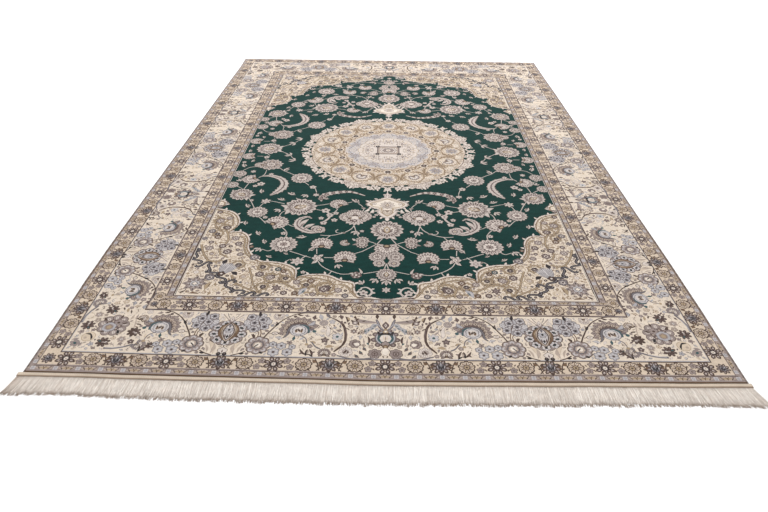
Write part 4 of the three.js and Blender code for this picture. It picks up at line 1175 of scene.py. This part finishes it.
def fibre_material(name, rgb, grain, streak, rough=0.95, sheen=0.06, bump=0.35, depth=0.0006, vary=0.16, light=0.82):
    """Yarn of one colour: each knot a little lighter or darker, with soft streaks along the cloth."""
    mat = bpy.data.materials.new(name)
    mat.use_nodes = True
    tree = mat.node_tree
    bsdf = tree.nodes["Principled BSDF"]
    bsdf.inputs["Roughness"].default_value = rough
    bsdf.inputs["Sheen Weight"].default_value = sheen
    bsdf.inputs["Sheen Roughness"].default_value = 0.45
    bsdf.inputs["Specular IOR Level"].default_value = 0.05
    where = node(tree, "ShaderNodeTexCoord").outputs["Object"]

    def scaled(scale):
        step = node(tree, "ShaderNodeMapping", Scale=scale)
        tree.links.new(where, step.inputs["Vector"])
        return step.outputs["Vector"]

    def math_node(how, a, b):
        made = node(tree, "ShaderNodeMath", operation=how)
        for socket, value in zip(made.inputs, (a, b)):
            if isinstance(value, (int, float)):
                socket.default_value = value
            else:
                tree.links.new(value, socket)
        return made.outputs[0]

    floor = node(tree, "ShaderNodeVectorMath", operation="FLOOR")
    tree.links.new(scaled(grain), floor.inputs[0])
    knot = node(tree, "ShaderNodeTexWhiteNoise", noise_dimensions="3D")
    tree.links.new(floor.outputs[0], knot.inputs["Vector"])
    nap = node(tree, "ShaderNodeTexNoise", Scale=1.0, Detail=3.0)
    tree.links.new(scaled(streak), nap.inputs["Vector"])
    band = node(tree, "ShaderNodeTexNoise", Scale=1.0, Detail=2.0)
    tree.links.new(scaled((1.2, 14.0, 1.0)), band.inputs["Vector"])
    tone = math_node("ADD", math_node("MULTIPLY", knot.outputs["Value"], vary), math_node("MULTIPLY", nap.outputs["Fac"], vary * 1.6))
    tone = math_node("ADD", tone, math_node("MULTIPLY", band.outputs["Fac"], vary * 0.9))
    mottle = node(tree, "ShaderNodeTexNoise", Scale=1.0, Detail=2.0)
    tree.links.new(scaled((26.0, 60.0, 1.0)), mottle.inputs["Vector"])
    tone = math_node("ADD", tone, math_node("MULTIPLY", mottle.outputs["Fac"], vary * 2.4))
    tone = math_node("ADD", tone, 1.0 - vary * (0.5 + 0.8 + 0.45 + 1.2))
    paint = node(tree, "ShaderNodeHueSaturation", Color=linear(rgb, light))
    tree.links.new(tone, paint.inputs["Value"])
    tree.links.new(paint.outputs["Color"], bsdf.inputs["Base Color"])
    height = math_node("ADD", math_node("MULTIPLY", knot.outputs["Value"], 0.5), nap.outputs["Fac"])
    relief = node(tree, "ShaderNodeBump", Strength=bump, Distance=depth)
    tree.links.new(height, relief.inputs["Height"])
    tree.links.new(relief.outputs["Normal"], bsdf.inputs["Normal"])
    return mat


KNOT = (620.0, 560.0, 1.0)
PILE = [fibre_material("yarn_" + name, rgb, KNOT, (260.0, 60.0, 1.0), vary=0.3 if name == "green" else 0.16) for name, rgb in YARNS.items()]


def make_mesh(name, points, faces, materials, slots=None, uvs=None, smooth_faces=False):
    mesh = bpy.data.meshes.new(name)
    points, faces = np.asarray(points, np.float32), np.asarray(faces, np.int32)
    size = faces.shape[1]
    mesh.vertices.add(len(points))
    mesh.vertices.foreach_set("co", points.ravel())
    mesh.loops.add(faces.size)
    mesh.loops.foreach_set("vertex_index", faces.ravel())
    mesh.polygons.add(len(faces))
    mesh.polygons.foreach_set("loop_start", np.arange(0, faces.size, size, dtype=np.int32))
    for mat in materials:
        mesh.materials.append(mat)
    if slots is not None:
        mesh.polygons.foreach_set("material_index", np.asarray(slots, np.int32))
    mesh.update(calc_edges=True)
    if uvs is not None:
        layer = mesh.uv_layers.new(name="OFBake")
        layer.data.foreach_set("uv", np.asarray(uvs, np.float32).ravel())
    mesh.polygons.foreach_set("use_smooth", np.full(len(faces), smooth_faces))
    mesh.validate()
    made = bpy.data.objects.new(name, mesh)
    bpy.context.scene.collection.objects.link(made)
    return made


def finish_piece(made, replaced):
    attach(made, "root")
    if replaced:
        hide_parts(replaced)
    return made


# The pile. Overlapping shapes become one flat mosaic, each tile with the yarn of the shape on top.


def middles(points, tiles):
    return points[tiles].mean(1)


def sides_of(tiles):
    """Each edge once, with the tiles on its two sides, or -1."""
    ends = np.vstack([tiles[:, [0, 1]], tiles[:, [1, 2]], tiles[:, [2, 0]]])
    owner = np.tile(np.arange(len(tiles)), 3)
    ends = np.sort(ends, 1)
    order = np.lexsort((ends[:, 1], ends[:, 0]))
    ends, owner = ends[order], owner[order]
    first = np.r_[True, (ends[1:] != ends[:-1]).any(1)]
    start = np.flatnonzero(first)
    twin = np.r_[~first[1:], False][start]
    other = np.where(twin, owner[np.minimum(start + 1, len(owner) - 1)], -1)
    return ends[start], owner[start], other


def chains(edges, fixed):
    """Runs of edges from one meeting point to the next, and closed rings."""
    near = {}
    for a, b in edges.tolist():
        near.setdefault(a, []).append(b)
        near.setdefault(b, []).append(a)
    stops = {v for v, other in near.items() if len(other) != 2 or v in fixed}
    seen, found = set(), []

    def walk(a, b):
        run = [a, b]
        seen.add((a, b))
        seen.add((b, a))
        while run[-1] not in stops and run[-1] != run[0]:
            p, q = near[run[-1]]
            step = q if p == run[-2] else p
            seen.add((run[-1], step))
            seen.add((step, run[-1]))
            run.append(step)
        found.append(run)

    for a in stops:
        for b in near[a]:
            if (a, b) not in seen:
                walk(a, b)
    for a, other in near.items():
        if a not in stops and (a, other[0]) not in seen:
            walk(a, other[0])
    return found


def thinned(points, run, slack):
    """A run without the points that lie within the slack of straight lines."""
    p = points[run]
    keep = {0, len(run) - 1}
    work = [(0, len(run) - 1)]
    if run[0] == run[-1]:
        far = int(np.argmax(((p - p[0]) ** 2).sum(1)))
        keep.add(far)
        work = [(0, far), (far, len(run) - 1)]
    while work:
        i, j = work.pop()
        if j - i < 2:
            continue
        q, d = p[i + 1 : j] - p[i], p[j] - p[i]
        length = math.hypot(d[0], d[1])
        off = np.abs(q[:, 0] * d[1] - q[:, 1] * d[0]) / length if length > 1e-6 else np.hypot(q[:, 0], q[:, 1])
        k = int(np.argmax(off))
        if off[k] > slack:
            keep.add(i + 1 + k)
            work += [(i, i + 1 + k), (i + 1 + k, j)]
    return [run[i] for i in sorted(keep)]


def triangles(points, edges, x0, y0, x1, y1):
    found, _, tiles, _, _, _ = delaunay_2d_cdt(points, edges, [], 0, 1e-3, True)
    found, tiles = np.array([tuple(v) for v in found]), np.array(tiles)
    m = middles(found, tiles)
    tiles = tiles[(m[:, 0] > x0) & (m[:, 0] < x1) & (m[:, 1] > y0) & (m[:, 1] < y1)]
    used, tiles = np.unique(tiles, return_inverse=True)
    return found[used], tiles.reshape(-1, 3)


def mosaic(rows, x0, y0, x1, y1, lines=(), step=40, slack=0.95):
    """Triangles of the drawing inside a rectangle: points, triangles, and the yarn of each."""
    rows = [(yarn, p) for yarn, p in rows if p[:, 0].max() > x0 and p[:, 0].min() < x1 and p[:, 1].max() > y0 and p[:, 1].min() < y1]
    rows = block("green", x0, y0, x1, y1) + rows
    yarn_of = np.array([ORDER.index(yarn) for yarn, _ in rows])
    points, edges = [], []
    for _, p in rows:
        n = len(points)
        edges += [(n + i, n + (i + 1) % len(p)) for i in range(len(p))]
        points += p.tolist()
    points, tiles = triangles(points, edges, x0, y0, x1, y1)
    yarns = yarn_of[painted(rows, middles(points, tiles))]
    ends, one, other = sides_of(tiles)
    shown = ends[(other < 0) | (yarns[one] != yarns[other])]
    rim = {int(v) for v in shown.ravel() if min(abs(points[v, 0] - x0), abs(points[v, 0] - x1), abs(points[v, 1] - y0), abs(points[v, 1] - y1)) < 1e-3}
    edges = []
    for run in chains(shown, rim):
        run = thinned(points, run, slack)
        edges += list(zip(run, run[1:]))
    used, edges = np.unique(edges, return_inverse=True)
    points, edges = points[used].tolist(), edges.reshape(-1, 2).tolist()
    for line in lines:
        edges.append((len(points), len(points) + 1))
        points.extend(line)
    columns, lanes = max(2, round((x1 - x0) / step)), max(2, round((y1 - y0) / step))
    grid = np.stack(np.meshgrid(np.linspace(x0, x1, columns + 1), np.linspace(y0, y1, lanes + 1)), -1).reshape(-1, 2)
    points.extend(grid.tolist())
    points, tiles = triangles(points, edges, x0, y0, x1, y1)
    return points, tiles, yarn_of[painted(rows, middles(points, tiles))]


def warped(x, y):
    """A place of the straight pattern moved with the rug's uneven edges, most of it near those edges."""
    left = ((HALF_WIDTH - x) / (2 * HALF_WIDTH)) ** 3
    right = ((HALF_WIDTH + x) / (2 * HALF_WIDTH)) ** 3
    near = ((HALF_LENGTH - y) / (2 * HALF_LENGTH)) ** 4
    far = ((HALF_LENGTH + y) / (2 * HALF_LENGTH)) ** 4
    return (
        x + right * along(RIGHT_BULGE, y) - left * along(LEFT_BULGE, y),
        y + far * along(FAR_BULGE, x) - near * along(NEAR_BULGE, x),
    )


def pile_height(x, y):
    """The pile's top: slightly uneven, and rounded over at the rug's edge."""
    wave = 0.35 * np.sin(x / 170 + 1.1) * np.sin(y / 230 + 0.4) + 0.2 * np.sin(x / 61 + y / 97)
    edge = np.minimum(HALF_WIDTH - np.abs(x), HALF_LENGTH - np.abs(y))
    return PILE_TOP + wave * np.clip(edge / 60, 0, 1) - 1.5 * (1 - np.clip(edge / 1.6, 0, 1))


def welded(points, tiles):
    keys = np.round(points * 200).astype(np.int64)
    _, first, same = np.unique(keys, axis=0, return_index=True, return_inverse=True)
    tiles = same.reshape(-1)[tiles]
    good = (tiles[:, 0] != tiles[:, 1]) & (tiles[:, 1] != tiles[:, 2]) & (tiles[:, 2] != tiles[:, 0])
    return points[first], tiles, good


def mirrored(part, flip_x, flip_y):
    """One quarter's tiles moved to where they lie on the rug, about its middle."""
    points, tiles, yarns = part
    p = points - (HALF_WIDTH, HALF_LENGTH)
    p = p * (-1 if flip_x else 1, -1 if flip_y else 1)
    return p, (tiles[:, ::-1] if flip_x != flip_y else tiles), yarns


def slab(name, halves, row_length, upright, materials, low, top, replaced=None):
    """A closed slab of pile from quarter mosaics. Its bake map folds the long strip into rows."""
    base, points, tiles, yarns = 0, [], [], []
    for p, t, y in halves:
        points.append(p)
        tiles.append(t + base)
        yarns.append(y)
        base += len(p)
    points, tiles, good = welded(np.vstack(points), np.vstack(tiles))
    tiles, yarns = tiles[good], np.concatenate(yarns)[good]
    count = len(points)
    ends = np.vstack([tiles[:, [0, 1]], tiles[:, [1, 2]], tiles[:, [2, 0]]])
    owner = np.tile(np.arange(len(tiles)), 3)
    code, back = ends[:, 0] * count + ends[:, 1], ends[:, 1] * count + ends[:, 0]
    rim = ~np.isin(code, back)
    a, b, rim_owner = ends[rim, 0], ends[rim, 1], owner[rim]
    rim_points = np.unique(np.concatenate([a, b]))
    under = np.full(count, -1)
    under[rim_points] = count + np.arange(len(rim_points))
    walls = np.vstack([np.c_[a, under[a], under[b]], np.c_[a, under[b], b]])
    following = dict(zip(a.tolist(), b.tolist()))
    loop = [int(a[0])]
    while following[loop[-1]] != loop[0]:
        loop.append(following[loop[-1]])
    flat = [tuple(points[i]) for i in loop]
    _, _, floor_tiles, originals, _, _ = delaunay_2d_cdt(flat, [], [list(range(len(flat)))], 1, 1e-4, True)
    names = [o[0] for o in originals]
    floor = np.array([[under[loop[names[i]]] for i in t][::-1] for t in floor_tiles])
    x, y = warped(points[:, 0], points[:, 1])
    upper = np.c_[x, y, top(points[:, 0], points[:, 1])]
    lower = np.c_[x[rim_points], y[rim_points], np.full(len(rim_points), low)]
    faces = np.vstack([tiles, walls, floor])
    slots = np.concatenate([yarns, yarns[rim_owner], yarns[rim_owner], np.full(len(floor), yarns[0])])
    # the bake map
    s, t = (points[:, 1], points[:, 0]) if upright else (points[:, 0], points[:, 1])
    s, t = s - s.min(), t - t.min()
    width, pad, shrink = t.max(), 14.0, 0.1
    rows = max(1, round(s.max() / row_length))
    size = max(row_length + 2 * pad, rows * (width + pad) + pad + width * shrink + pad)
    row = np.clip((s[tiles].mean(1) / row_length).astype(int), 0, rows - 1)

    def spot(ss, tt, rr):
        return np.stack([ss - rr * row_length + pad, tt + pad + rr * (width + pad)], -1) / size

    on_top = spot(s[tiles], t[tiles], row[:, None])
    way = np.c_[s[b] - s[a], t[b] - t[a]]
    way = way / np.maximum(np.hypot(way[:, 0], way[:, 1]), 1e-9)[:, None]
    out = np.c_[way[:, 1], -way[:, 0]] * (-5.0 if upright else 5.0)
    rr = row[rim_owner]
    pa, pb = spot(s[a], t[a], rr), spot(s[b], t[b], rr)
    qa, qb = pa + out / size, pb + out / size
    wall_map = np.concatenate([np.stack([pa, qa, qb], 1), np.stack([pa, qb, pb], 1)])
    back_index = np.full(count + len(rim_points), 0)
    back_index[under[rim_points]] = rim_points
    fs, ft = s[back_index[floor]], t[back_index[floor]]
    floor_map = np.stack([fs * shrink + pad, ft * shrink + pad + rows * (width + pad)], -1) / size
    uvs = np.concatenate([on_top, wall_map, floor_map])
    made = make_mesh(name, np.vstack([upper, lower]) * MM, faces, materials, slots, uvs)
    print("PIECE", name, len(faces), "faces")
    return finish_piece(made, replaced)


def pile_pieces():
    b = borders()
    lines = b["ground"]
    along_near = lines + b["guards"] + b["stripes"] + b["small"] + b["main"]
    up_side = lines + b["side_guards"] + b["side_stripes"] + b["side_small"] + b["side_main"]
    up_side = up_side + b["guards"] + b["stripes"] + b["small"] + b["main"]
    side_x, end_y = SIDE["field"], END["field"]
    side = mosaic(up_side, 0, 0, side_x, HALF_LENGTH, [((0, 1000), (side_x, 1000))])
    end = mosaic(along_near, side_x, 0, HALF_WIDTH, end_y)
    middle = mosaic(field(), side_x, end_y, HALF_WIDTH, HALF_LENGTH)
    made = []
    for where, flip in (("left", False), ("right", True)):
        halves = [mirrored(side, flip, False), mirrored(side, flip, True)]
        made.append(slab("pile_border_" + where, halves, 1000, True, PILE, FOUNDATION_TOP, pile_height, "rug_pile"))
        halves = [mirrored(middle, flip, False), mirrored(middle, flip, True)]
        made.append(slab("pile_field_" + where, halves, HALF_LENGTH - end_y, True, PILE, FOUNDATION_TOP, pile_height, "rug_pile"))
    for where, flip in (("near", False), ("far", True)):
        halves = [mirrored(end, False, flip), mirrored(end, True, flip)]
        made.append(slab("pile_border_" + where, halves, HALF_WIDTH - side_x, False, PILE, FOUNDATION_TOP, pile_height, "rug_pile"))
    return made


def swept(name, rings, materials, replaced=None, slots=None, tone=None):
    """A closed tube through rings of points, with flat ends."""
    rings = np.asarray(rings, float)
    steps, size = rings.shape[:2]
    i = np.arange(size)
    j = (i + 1) % size
    base = np.arange(steps - 1)[:, None] * size
    quads = np.stack([base + i, base + j, base + size + j, base + size + i], -1).reshape(-1, 4)
    tris = np.vstack([quads[:, [0, 1, 2]], quads[:, [0, 2, 3]]])
    points = rings.reshape(-1, 3)
    centre = np.vstack([rings[0].mean(0), rings[-1].mean(0)])
    first, last = len(points), len(points) + 1
    caps = np.vstack([np.c_[j, i, np.full(size, first)], np.c_[(steps - 1) * size + i, (steps - 1) * size + j, np.full(size, last)]])
    made = make_mesh(name, np.vstack([points, centre]) * MM, np.vstack([tris, caps]), materials, smooth_faces=True)
    if tone is not None:
        layer = made.data.attributes.new("tone", "FLOAT", "POINT")
        layer.data.foreach_set("value", np.r_[np.asarray(tone, np.float32).ravel(), 0.5, 0.5].astype(np.float32))
    print("PIECE", name, len(tris), "faces")
    return finish_piece(made, replaced)


# The section of a flat-woven band, as shares of its width and thickness
STRIP = [(0.0, 0.02), (0.88, 0.02), (0.98, 0.2), (1.0, 0.45), (0.96, 0.74), (0.84, 0.94), (0.6, 1.0), (0.34, 1.0), (0.1, 0.96), (0.0, 0.8)]


def selvedge(side, edge, where):
    """The cord along one side, overcast with slanting turns of yarn."""
    step, pitch = 2.2, 6.6
    y = np.arange(-HALF_LENGTH, HALF_LENGTH + step / 2, step)
    a = np.arange(7) * 2 * math.pi / 7
    turn = np.cos(2 * math.pi * y[:, None] / pitch + a[None, :] * 1.0)
    jitter = np.interp(y, np.arange(-HALF_LENGTH, HALF_LENGTH + 40, 40), rng.normal(0, 0.15, len(np.arange(-HALF_LENGTH, HALF_LENGTH + 40, 40))))
    r = 1 + 0.09 * turn
    x = side * (HALF_WIDTH + along(edge, y) + GAP + SELVEDGE_WIDTH / 2)[:, None] + side * jitter[:, None] + r * np.cos(a) * SELVEDGE_WIDTH / 2 * 0.96
    z = SELVEDGE_HEIGHT / 2 + r * np.sin(a) * SELVEDGE_HEIGHT / 2 * 0.9
    yy = np.broadcast_to(y[:, None], x.shape)
    rings = np.stack([x, yy, np.maximum(z, 0.02)], -1)[:, ::-1]
    beat = 0.5 + 0.5 * np.sin(2 * math.pi * y / (pitch * 4) + 3 * np.sin(y / 57.0))
    tone = (0.5 + 0.5 * turn) * 0.55 + 0.45 * beat[:, None]
    return swept("selvedge_cord_" + where, rings, [SELVEDGE_YARN], "selvedge_" + where, tone=tone[:, ::-1])


def kilim(name, side, edge, x0, x1, width, thickness, replaced):
    """A flat-woven band across one end, in plain weave, with painted shade darkening its outer rolled edge."""
    step = 3.0
    x = np.arange(x0, x1 + step / 2, step)
    section = np.array(STRIP)
    inner = side * (HALF_LENGTH + along(edge, np.clip(x, -HALF_WIDTH, HALF_WIDTH)) + GAP)
    weave = ((np.arange(len(x))[:, None] + np.arange(len(section))[None, :]) % 2) * 2.0 - 1.0
    over = section[:, 1] > 0.5
    y = inner[:, None] + side * (section[:, 0] * width)[None, :]
    z = (section[:, 1] * thickness)[None, :] + 0.2 * weave * over[None, :]
    rings = np.stack([np.broadcast_to(x[:, None], y.shape), y, z], -1)
    rings = rings if side > 0 else rings[:, ::-1]
    # Painted shade: the tone darkens toward the band's outer rolled edge, where it meets the fringe.
    roll = np.clip((section[:, 0] - 0.72) / 0.14, 0, 1)
    tone = np.clip(0.72 + 0.16 * weave, 0, 1) * (1 - 0.68 * roll[None, :])
    tone = tone if side > 0 else tone[:, ::-1]
    return swept(name, rings, [KILIM_YARN], replaced, tone=tone)


def fringe():
    """Loose cotton strands, each a thin tapering tube, in three layers over a thin mat of matted cotton, with painted
    shade at the strands' roots and tips.
    """
    count, steps, sides = 2300, 6, 4
    past_left, past_right = -HALF_WIDTH - KILIM_PAST[0], HALF_WIDTH + KILIM_PAST[1]
    x0 = np.linspace(past_left + 1, past_right - 1, count) + rng.normal(0, 0.6, count)
    root = -HALF_LENGTH - along(NEAR_BULGE, np.clip(x0, -HALF_WIDTH, HALF_WIDTH)) - 2 * GAP - KILIM_NEAR_WIDTH
    layer = np.arange(count) % 3
    lock = 17.5
    middle = (np.floor(x0 / lock) + 0.5) * lock
    ragged = np.interp(x0, np.arange(-1040, 1041, 13), rng.normal(0, 1.8, 161))
    length = FRINGE_LENGTH + along(EXTRA, x0) + ragged + rng.normal(0, 1.8, count) - 2 * layer
    lean = along(LEAN, x0) + np.interp(x0, np.arange(-1040, 1041, 8), rng.normal(0, 2.2, 261)) + rng.normal(0, 2.4, count)
    sway = rng.normal(0, 1.6, count)
    radius = rng.uniform(0.5, 0.8, count)
    t = np.linspace(0, 1, steps)[:, None]
    x = x0 + lean * t**1.5 + sway * np.sin(t * math.pi * 1.3) * 1.2 + (middle - x0) * 0.1 * t
    y = root + 0.6 - (length + 0.6) * t
    z = (1.1 + 0.55 * layer) * (1 - 0.42 * t) + 0.1 * np.sin(x0 * 2.1 + t * 9)
    r = radius * (1 - 0.35 * t**3)
    a = np.arange(sides) * 2 * math.pi / sides
    px = x[..., None] + r[..., None] * np.cos(a)
    pz = np.maximum(z[..., None] + r[..., None] * np.sin(a), 0.05)
    py = np.broadcast_to(y[..., None], px.shape)
    rings = np.stack([px, py, pz], -1).transpose(1, 0, 2, 3)
    i = np.arange(sides)
    j = (i + 1) % sides
    base = np.arange(steps - 1)[:, None] * sides
    quads = np.stack([base + i, base + j, base + sides + j, base + sides + i], -1).reshape(-1, 4)
    one = np.vstack([quads[:, [0, 1, 2]], quads[:, [0, 2, 3]]])
    last = (steps - 1) * sides
    caps = [(0, k + 1, k) for k in range(1, sides - 1)] + [(last, last + k, last + k + 1) for k in range(1, sides - 1)]
    one = np.vstack([one, caps])
    faces = (one[None] + (np.arange(count) * steps * sides)[:, None, None]).reshape(-1, 3)[:, ::-1]
    # Each strand's tone varies at random along it and from strand to strand.
    tone_and_painted_shade = (0.6 + 0.4 * rng.random(count))[:, None, None] * (0.68 + 0.32 * rng.random((count, steps, 1))) * np.ones((count, steps, sides))
    # Painted shade: darker at the roots, where the strands come from under the kilim, and darker at the tips as a
    # shadow line.
    tone_and_painted_shade = tone_and_painted_shade * (0.72 + 0.28 * np.clip(t[None, :, :] * 5, 0, 1)) * (1 - 0.9 * t[None, :, :] ** 9)
    # Painted shade: strands in the last 50 mm at the fringe's left end are made up to 55 % darker.
    tone_and_painted_shade = tone_and_painted_shade * (1 - 0.55 * np.clip((-975 - x0) / 50, 0, 1)[:, None, None])
    # the mat: four points to each cut across it. Its low tone is painted shade under the strands.
    mx = np.arange(past_left + 1, past_right - 1, 4.0)
    mroot = -HALF_LENGTH - along(NEAR_BULGE, np.clip(mx, -HALF_WIDTH, HALF_WIDTH)) - 2 * GAP - KILIM_NEAR_WIDTH
    reach = FRINGE_LENGTH + along(EXTRA, mx) + np.interp(mx, np.arange(-1040, 1041, 13), rng.normal(0, 1.5, 161)) + rng.normal(0, 1.6, len(mx)) - 8
    out = along(LEAN, mx) * 0.8
    mat = np.stack([np.c_[mx, mroot, np.full(len(mx), 0.05)], np.c_[mx + out, mroot - reach, np.full(len(mx), 0.05)],
                    np.c_[mx + out, mroot - reach, np.full(len(mx), 0.5)], np.c_[mx, mroot, np.full(len(mx), 1.0)]], 1)
    k = np.arange(4)
    cut = np.arange(len(mx) - 1)[:, None] * 4
    around_mat = np.stack([cut + k, cut + 4 + k, cut + 4 + (k + 1) % 4, cut + (k + 1) % 4], -1).reshape(-1, 4)
    mat_faces = np.vstack([around_mat[:, [0, 1, 2]], around_mat[:, [0, 2, 3]], [(0, 3, 2), (0, 2, 1)], np.array([(0, 1, 2), (0, 2, 3)]) + (len(mx) - 1) * 4])
    points = np.vstack([rings.reshape(-1, 3), mat.reshape(-1, 3)])
    faces = np.vstack([faces, mat_faces[:, ::-1] + count * steps * sides])
    made = make_mesh("fringe_strands", points * MM, faces, [FRINGE_YARN], smooth_faces=True)
    values = made.data.attributes.new("tone", "FLOAT", "POINT")
    # The mat's points take a low tone of 0.42: painted shade under the strands.
    values.data.foreach_set("value", np.r_[tone_and_painted_shade.ravel(), np.full(len(mx) * 4, 0.42)].astype(np.float32))
    return finish_piece(made, "fringe_near")


def toned_material(name, dark, light, amount=0.82, **rest):
    """Yarn whose colour runs from dark to light with the tone kept on the piece's points."""
    mat = fibre_material(name, light, **rest)
    tree = mat.node_tree
    paint = next(n for n in tree.nodes if n.bl_idname == "ShaderNodeHueSaturation")
    tone = node(tree, "ShaderNodeAttribute", attribute_name="tone")
    ramp = node(tree, "ShaderNodeValToRGB")
    ramp.color_ramp.elements[0].color = linear(dark, amount)
    ramp.color_ramp.elements[1].color = linear(light, amount)
    tree.links.new(tone.outputs["Fac"], ramp.inputs["Fac"])
    tree.links.new(ramp.outputs["Color"], paint.inputs["Color"])
    return mat


SELVEDGE_YARN = toned_material("selvedge_yarn", (72, 58, 52), (168, 155, 148), grain=(900, 900, 900), streak=(300, 700, 300), rough=0.85, vary=0.2)
# The kilim cotton's dark colour is reached mostly at the band's rolled edge, as painted shade there.
KILIM_YARN = toned_material("kilim_cotton", (116, 90, 70), (238, 222, 202), grain=(700, 500, 700), streak=(120, 600, 300), rough=0.85, vary=0.12)
# The fringe cotton's dark colour serves mostly the painted shade at the strands' roots and tips and on the mat.
FRINGE_YARN = toned_material("fringe_cotton", (152, 128, 110), (255, 250, 243), 1.0, grain=(900, 300, 900), streak=(500, 60, 300), rough=0.8, vary=0.12)
BACK_YARN = [fibre_material("back_" + name, rgb, (500.0, 450.0, 1.0), (90.0, 200.0, 1.0), vary=0.2, light=0.6) for name, rgb in YARNS.items()]


def foundation():
    """The woven ground under the pile. Its back shows the pattern's main parts."""
    inset = 0.3
    rows = bands([("beige", 0, 0), ("tan", 20, 27), ("umber", 65, 76), ("ground", 70, 82), ("umber", 243, 272), ("tan", 249, 279), ("umber", 288, 327), ("green", 314, 351)])
    rows += [row for _, x, y, r, _ in FIELD if r > 28 for row in lobed("ivory", 6, r * 0.95, r * 0.7, (x, y))]
    edge = smooth(SCALLOPS, spans=3)
    rows += [("cream", np.vstack([edge, [(1000, 351), (316, 351), (316, 1000)]]))]
    rows += place(lobed("cream", 8, 415, 389) + lobed("tan", 8, 364, 346, turn=22.5) + lobed("sky", 16, 206, 194) + lobed("cream", 16, 148, 140), 1000, 1500)
    part = mosaic(rows, inset, inset, HALF_WIDTH, HALF_LENGTH, step=80, slack=2.0)
    quarters = [mirrored(part, fx, fy) for fx in (False, True) for fy in (False, True)]
    points, tiles, yarns, base = [], [], [], 0
    for p, t, y in quarters:
        points.append(p)
        tiles.append(t + base)
        yarns.append(y)
        base += len(p)
    points, tiles, good = welded(np.vstack(points), np.vstack(tiles))
    tiles, yarns = tiles[good], np.concatenate(yarns)[good]
    count = len(points)
    x, y = warped(points[:, 0], points[:, 1])
    ends = np.vstack([tiles[:, [0, 1]], tiles[:, [1, 2]], tiles[:, [2, 0]]])
    owner = np.tile(np.arange(len(tiles)), 3)
    rim = ~np.isin(ends[:, 0] * count + ends[:, 1], ends[:, 1] * count + ends[:, 0])
    a, b = ends[rim, 0], ends[rim, 1]
    walls = np.vstack([np.c_[a, a + count, b + count], np.c_[a, b + count, b]])
    faces = np.vstack([tiles, walls, tiles[:, ::-1] + count])
    slots = np.concatenate([yarns, yarns[owner[rim]], yarns[owner[rim]], yarns])
    heights = np.concatenate([np.full(count, FOUNDATION_TOP), np.zeros(count)])
    made = make_mesh("foundation", np.c_[np.tile(x, 2), np.tile(y, 2), heights] * MM, faces, BACK_YARN, slots)
    print("PIECE foundation", len(faces), "faces")
    return finish_piece(made, "rug_pile")


def stage_and_light():
    floor_mat = bpy.data.materials.new("floor")
    floor_mat.use_nodes = True
    tree = floor_mat.node_tree
    bsdf = tree.nodes["Principled BSDF"]
    bsdf.inputs["Roughness"].default_value = 0.95
    bsdf.inputs["Specular IOR Level"].default_value = 0.1
    grain = node(tree, "ShaderNodeTexNoise", Scale=3.0)
    ramp = node(tree, "ShaderNodeValToRGB")
    ramp.color_ramp.elements[0].color = (0.95, 0.95, 0.95, 1)
    ramp.color_ramp.elements[1].color = (0.97, 0.97, 0.97, 1)
    tree.links.new(grain.outputs["Fac"], ramp.inputs["Fac"])
    tree.links.new(ramp.outputs["Color"], bsdf.inputs["Base Color"])
    reach = 14.0
    mesh = bpy.data.meshes.new("floor")
    mesh.from_pydata([(-reach, -reach, -0.0002), (reach, -reach, -0.0002), (reach, reach, -0.0002), (-reach, reach, -0.0002)], [], [(0, 1, 2, 3)])
    mesh.materials.append(floor_mat)
    floor = bpy.data.objects.new("floor", mesh)
    bpy.context.scene.collection.objects.link(floor)
    world = bpy.data.worlds.new("studio")
    world.use_nodes = True
    world.node_tree.nodes["Background"].inputs["Color"].default_value = (1, 1, 1, 1)
    world.node_tree.nodes["Background"].inputs["Strength"].default_value = 0.965
    bpy.context.scene.world = world
    bpy.context.scene.view_settings.view_transform = "Standard"
    for name, place_, size, power in (("key", (-1.6, -2.2, 4.2), 3.0, 3.0), ("fill", (0.2, 2.6, 3.0), 3.8, 150.0)):
        data = bpy.data.lights.new(name, "AREA")
        data.size, data.energy = size, power
        light = bpy.data.objects.new(name, data)
        light.location = place_
        aim = Matrix.Identity(3)
        back = np.array(place_) / np.linalg.norm(place_)
        side = np.cross((0, 1, 0), back)
        side /= np.linalg.norm(side)
        aim = Matrix(np.array([side, np.cross(back, side), back]).T.tolist())
        light.rotation_euler = aim.to_euler()
        bpy.context.scene.collection.objects.link(light)


pile = pile_pieces()
cords = [selvedge(-1, LEFT_BULGE, "left"), selvedge(1, RIGHT_BULGE, "right")]
bands_woven = [
    kilim("kilim_weave_near", -1, NEAR_BULGE, -HALF_WIDTH - KILIM_PAST[0], HALF_WIDTH + KILIM_PAST[1], KILIM_NEAR_WIDTH, KILIM_NEAR_THICKNESS, "kilim_near"),
    kilim("kilim_weave_far", 1, FAR_BULGE, -HALF_WIDTH, HALF_WIDTH, KILIM_FAR_WIDTH, KILIM_FAR_THICKNESS, "kilim_far"),
]
strands = fringe()
base = foundation()
stage_and_light()
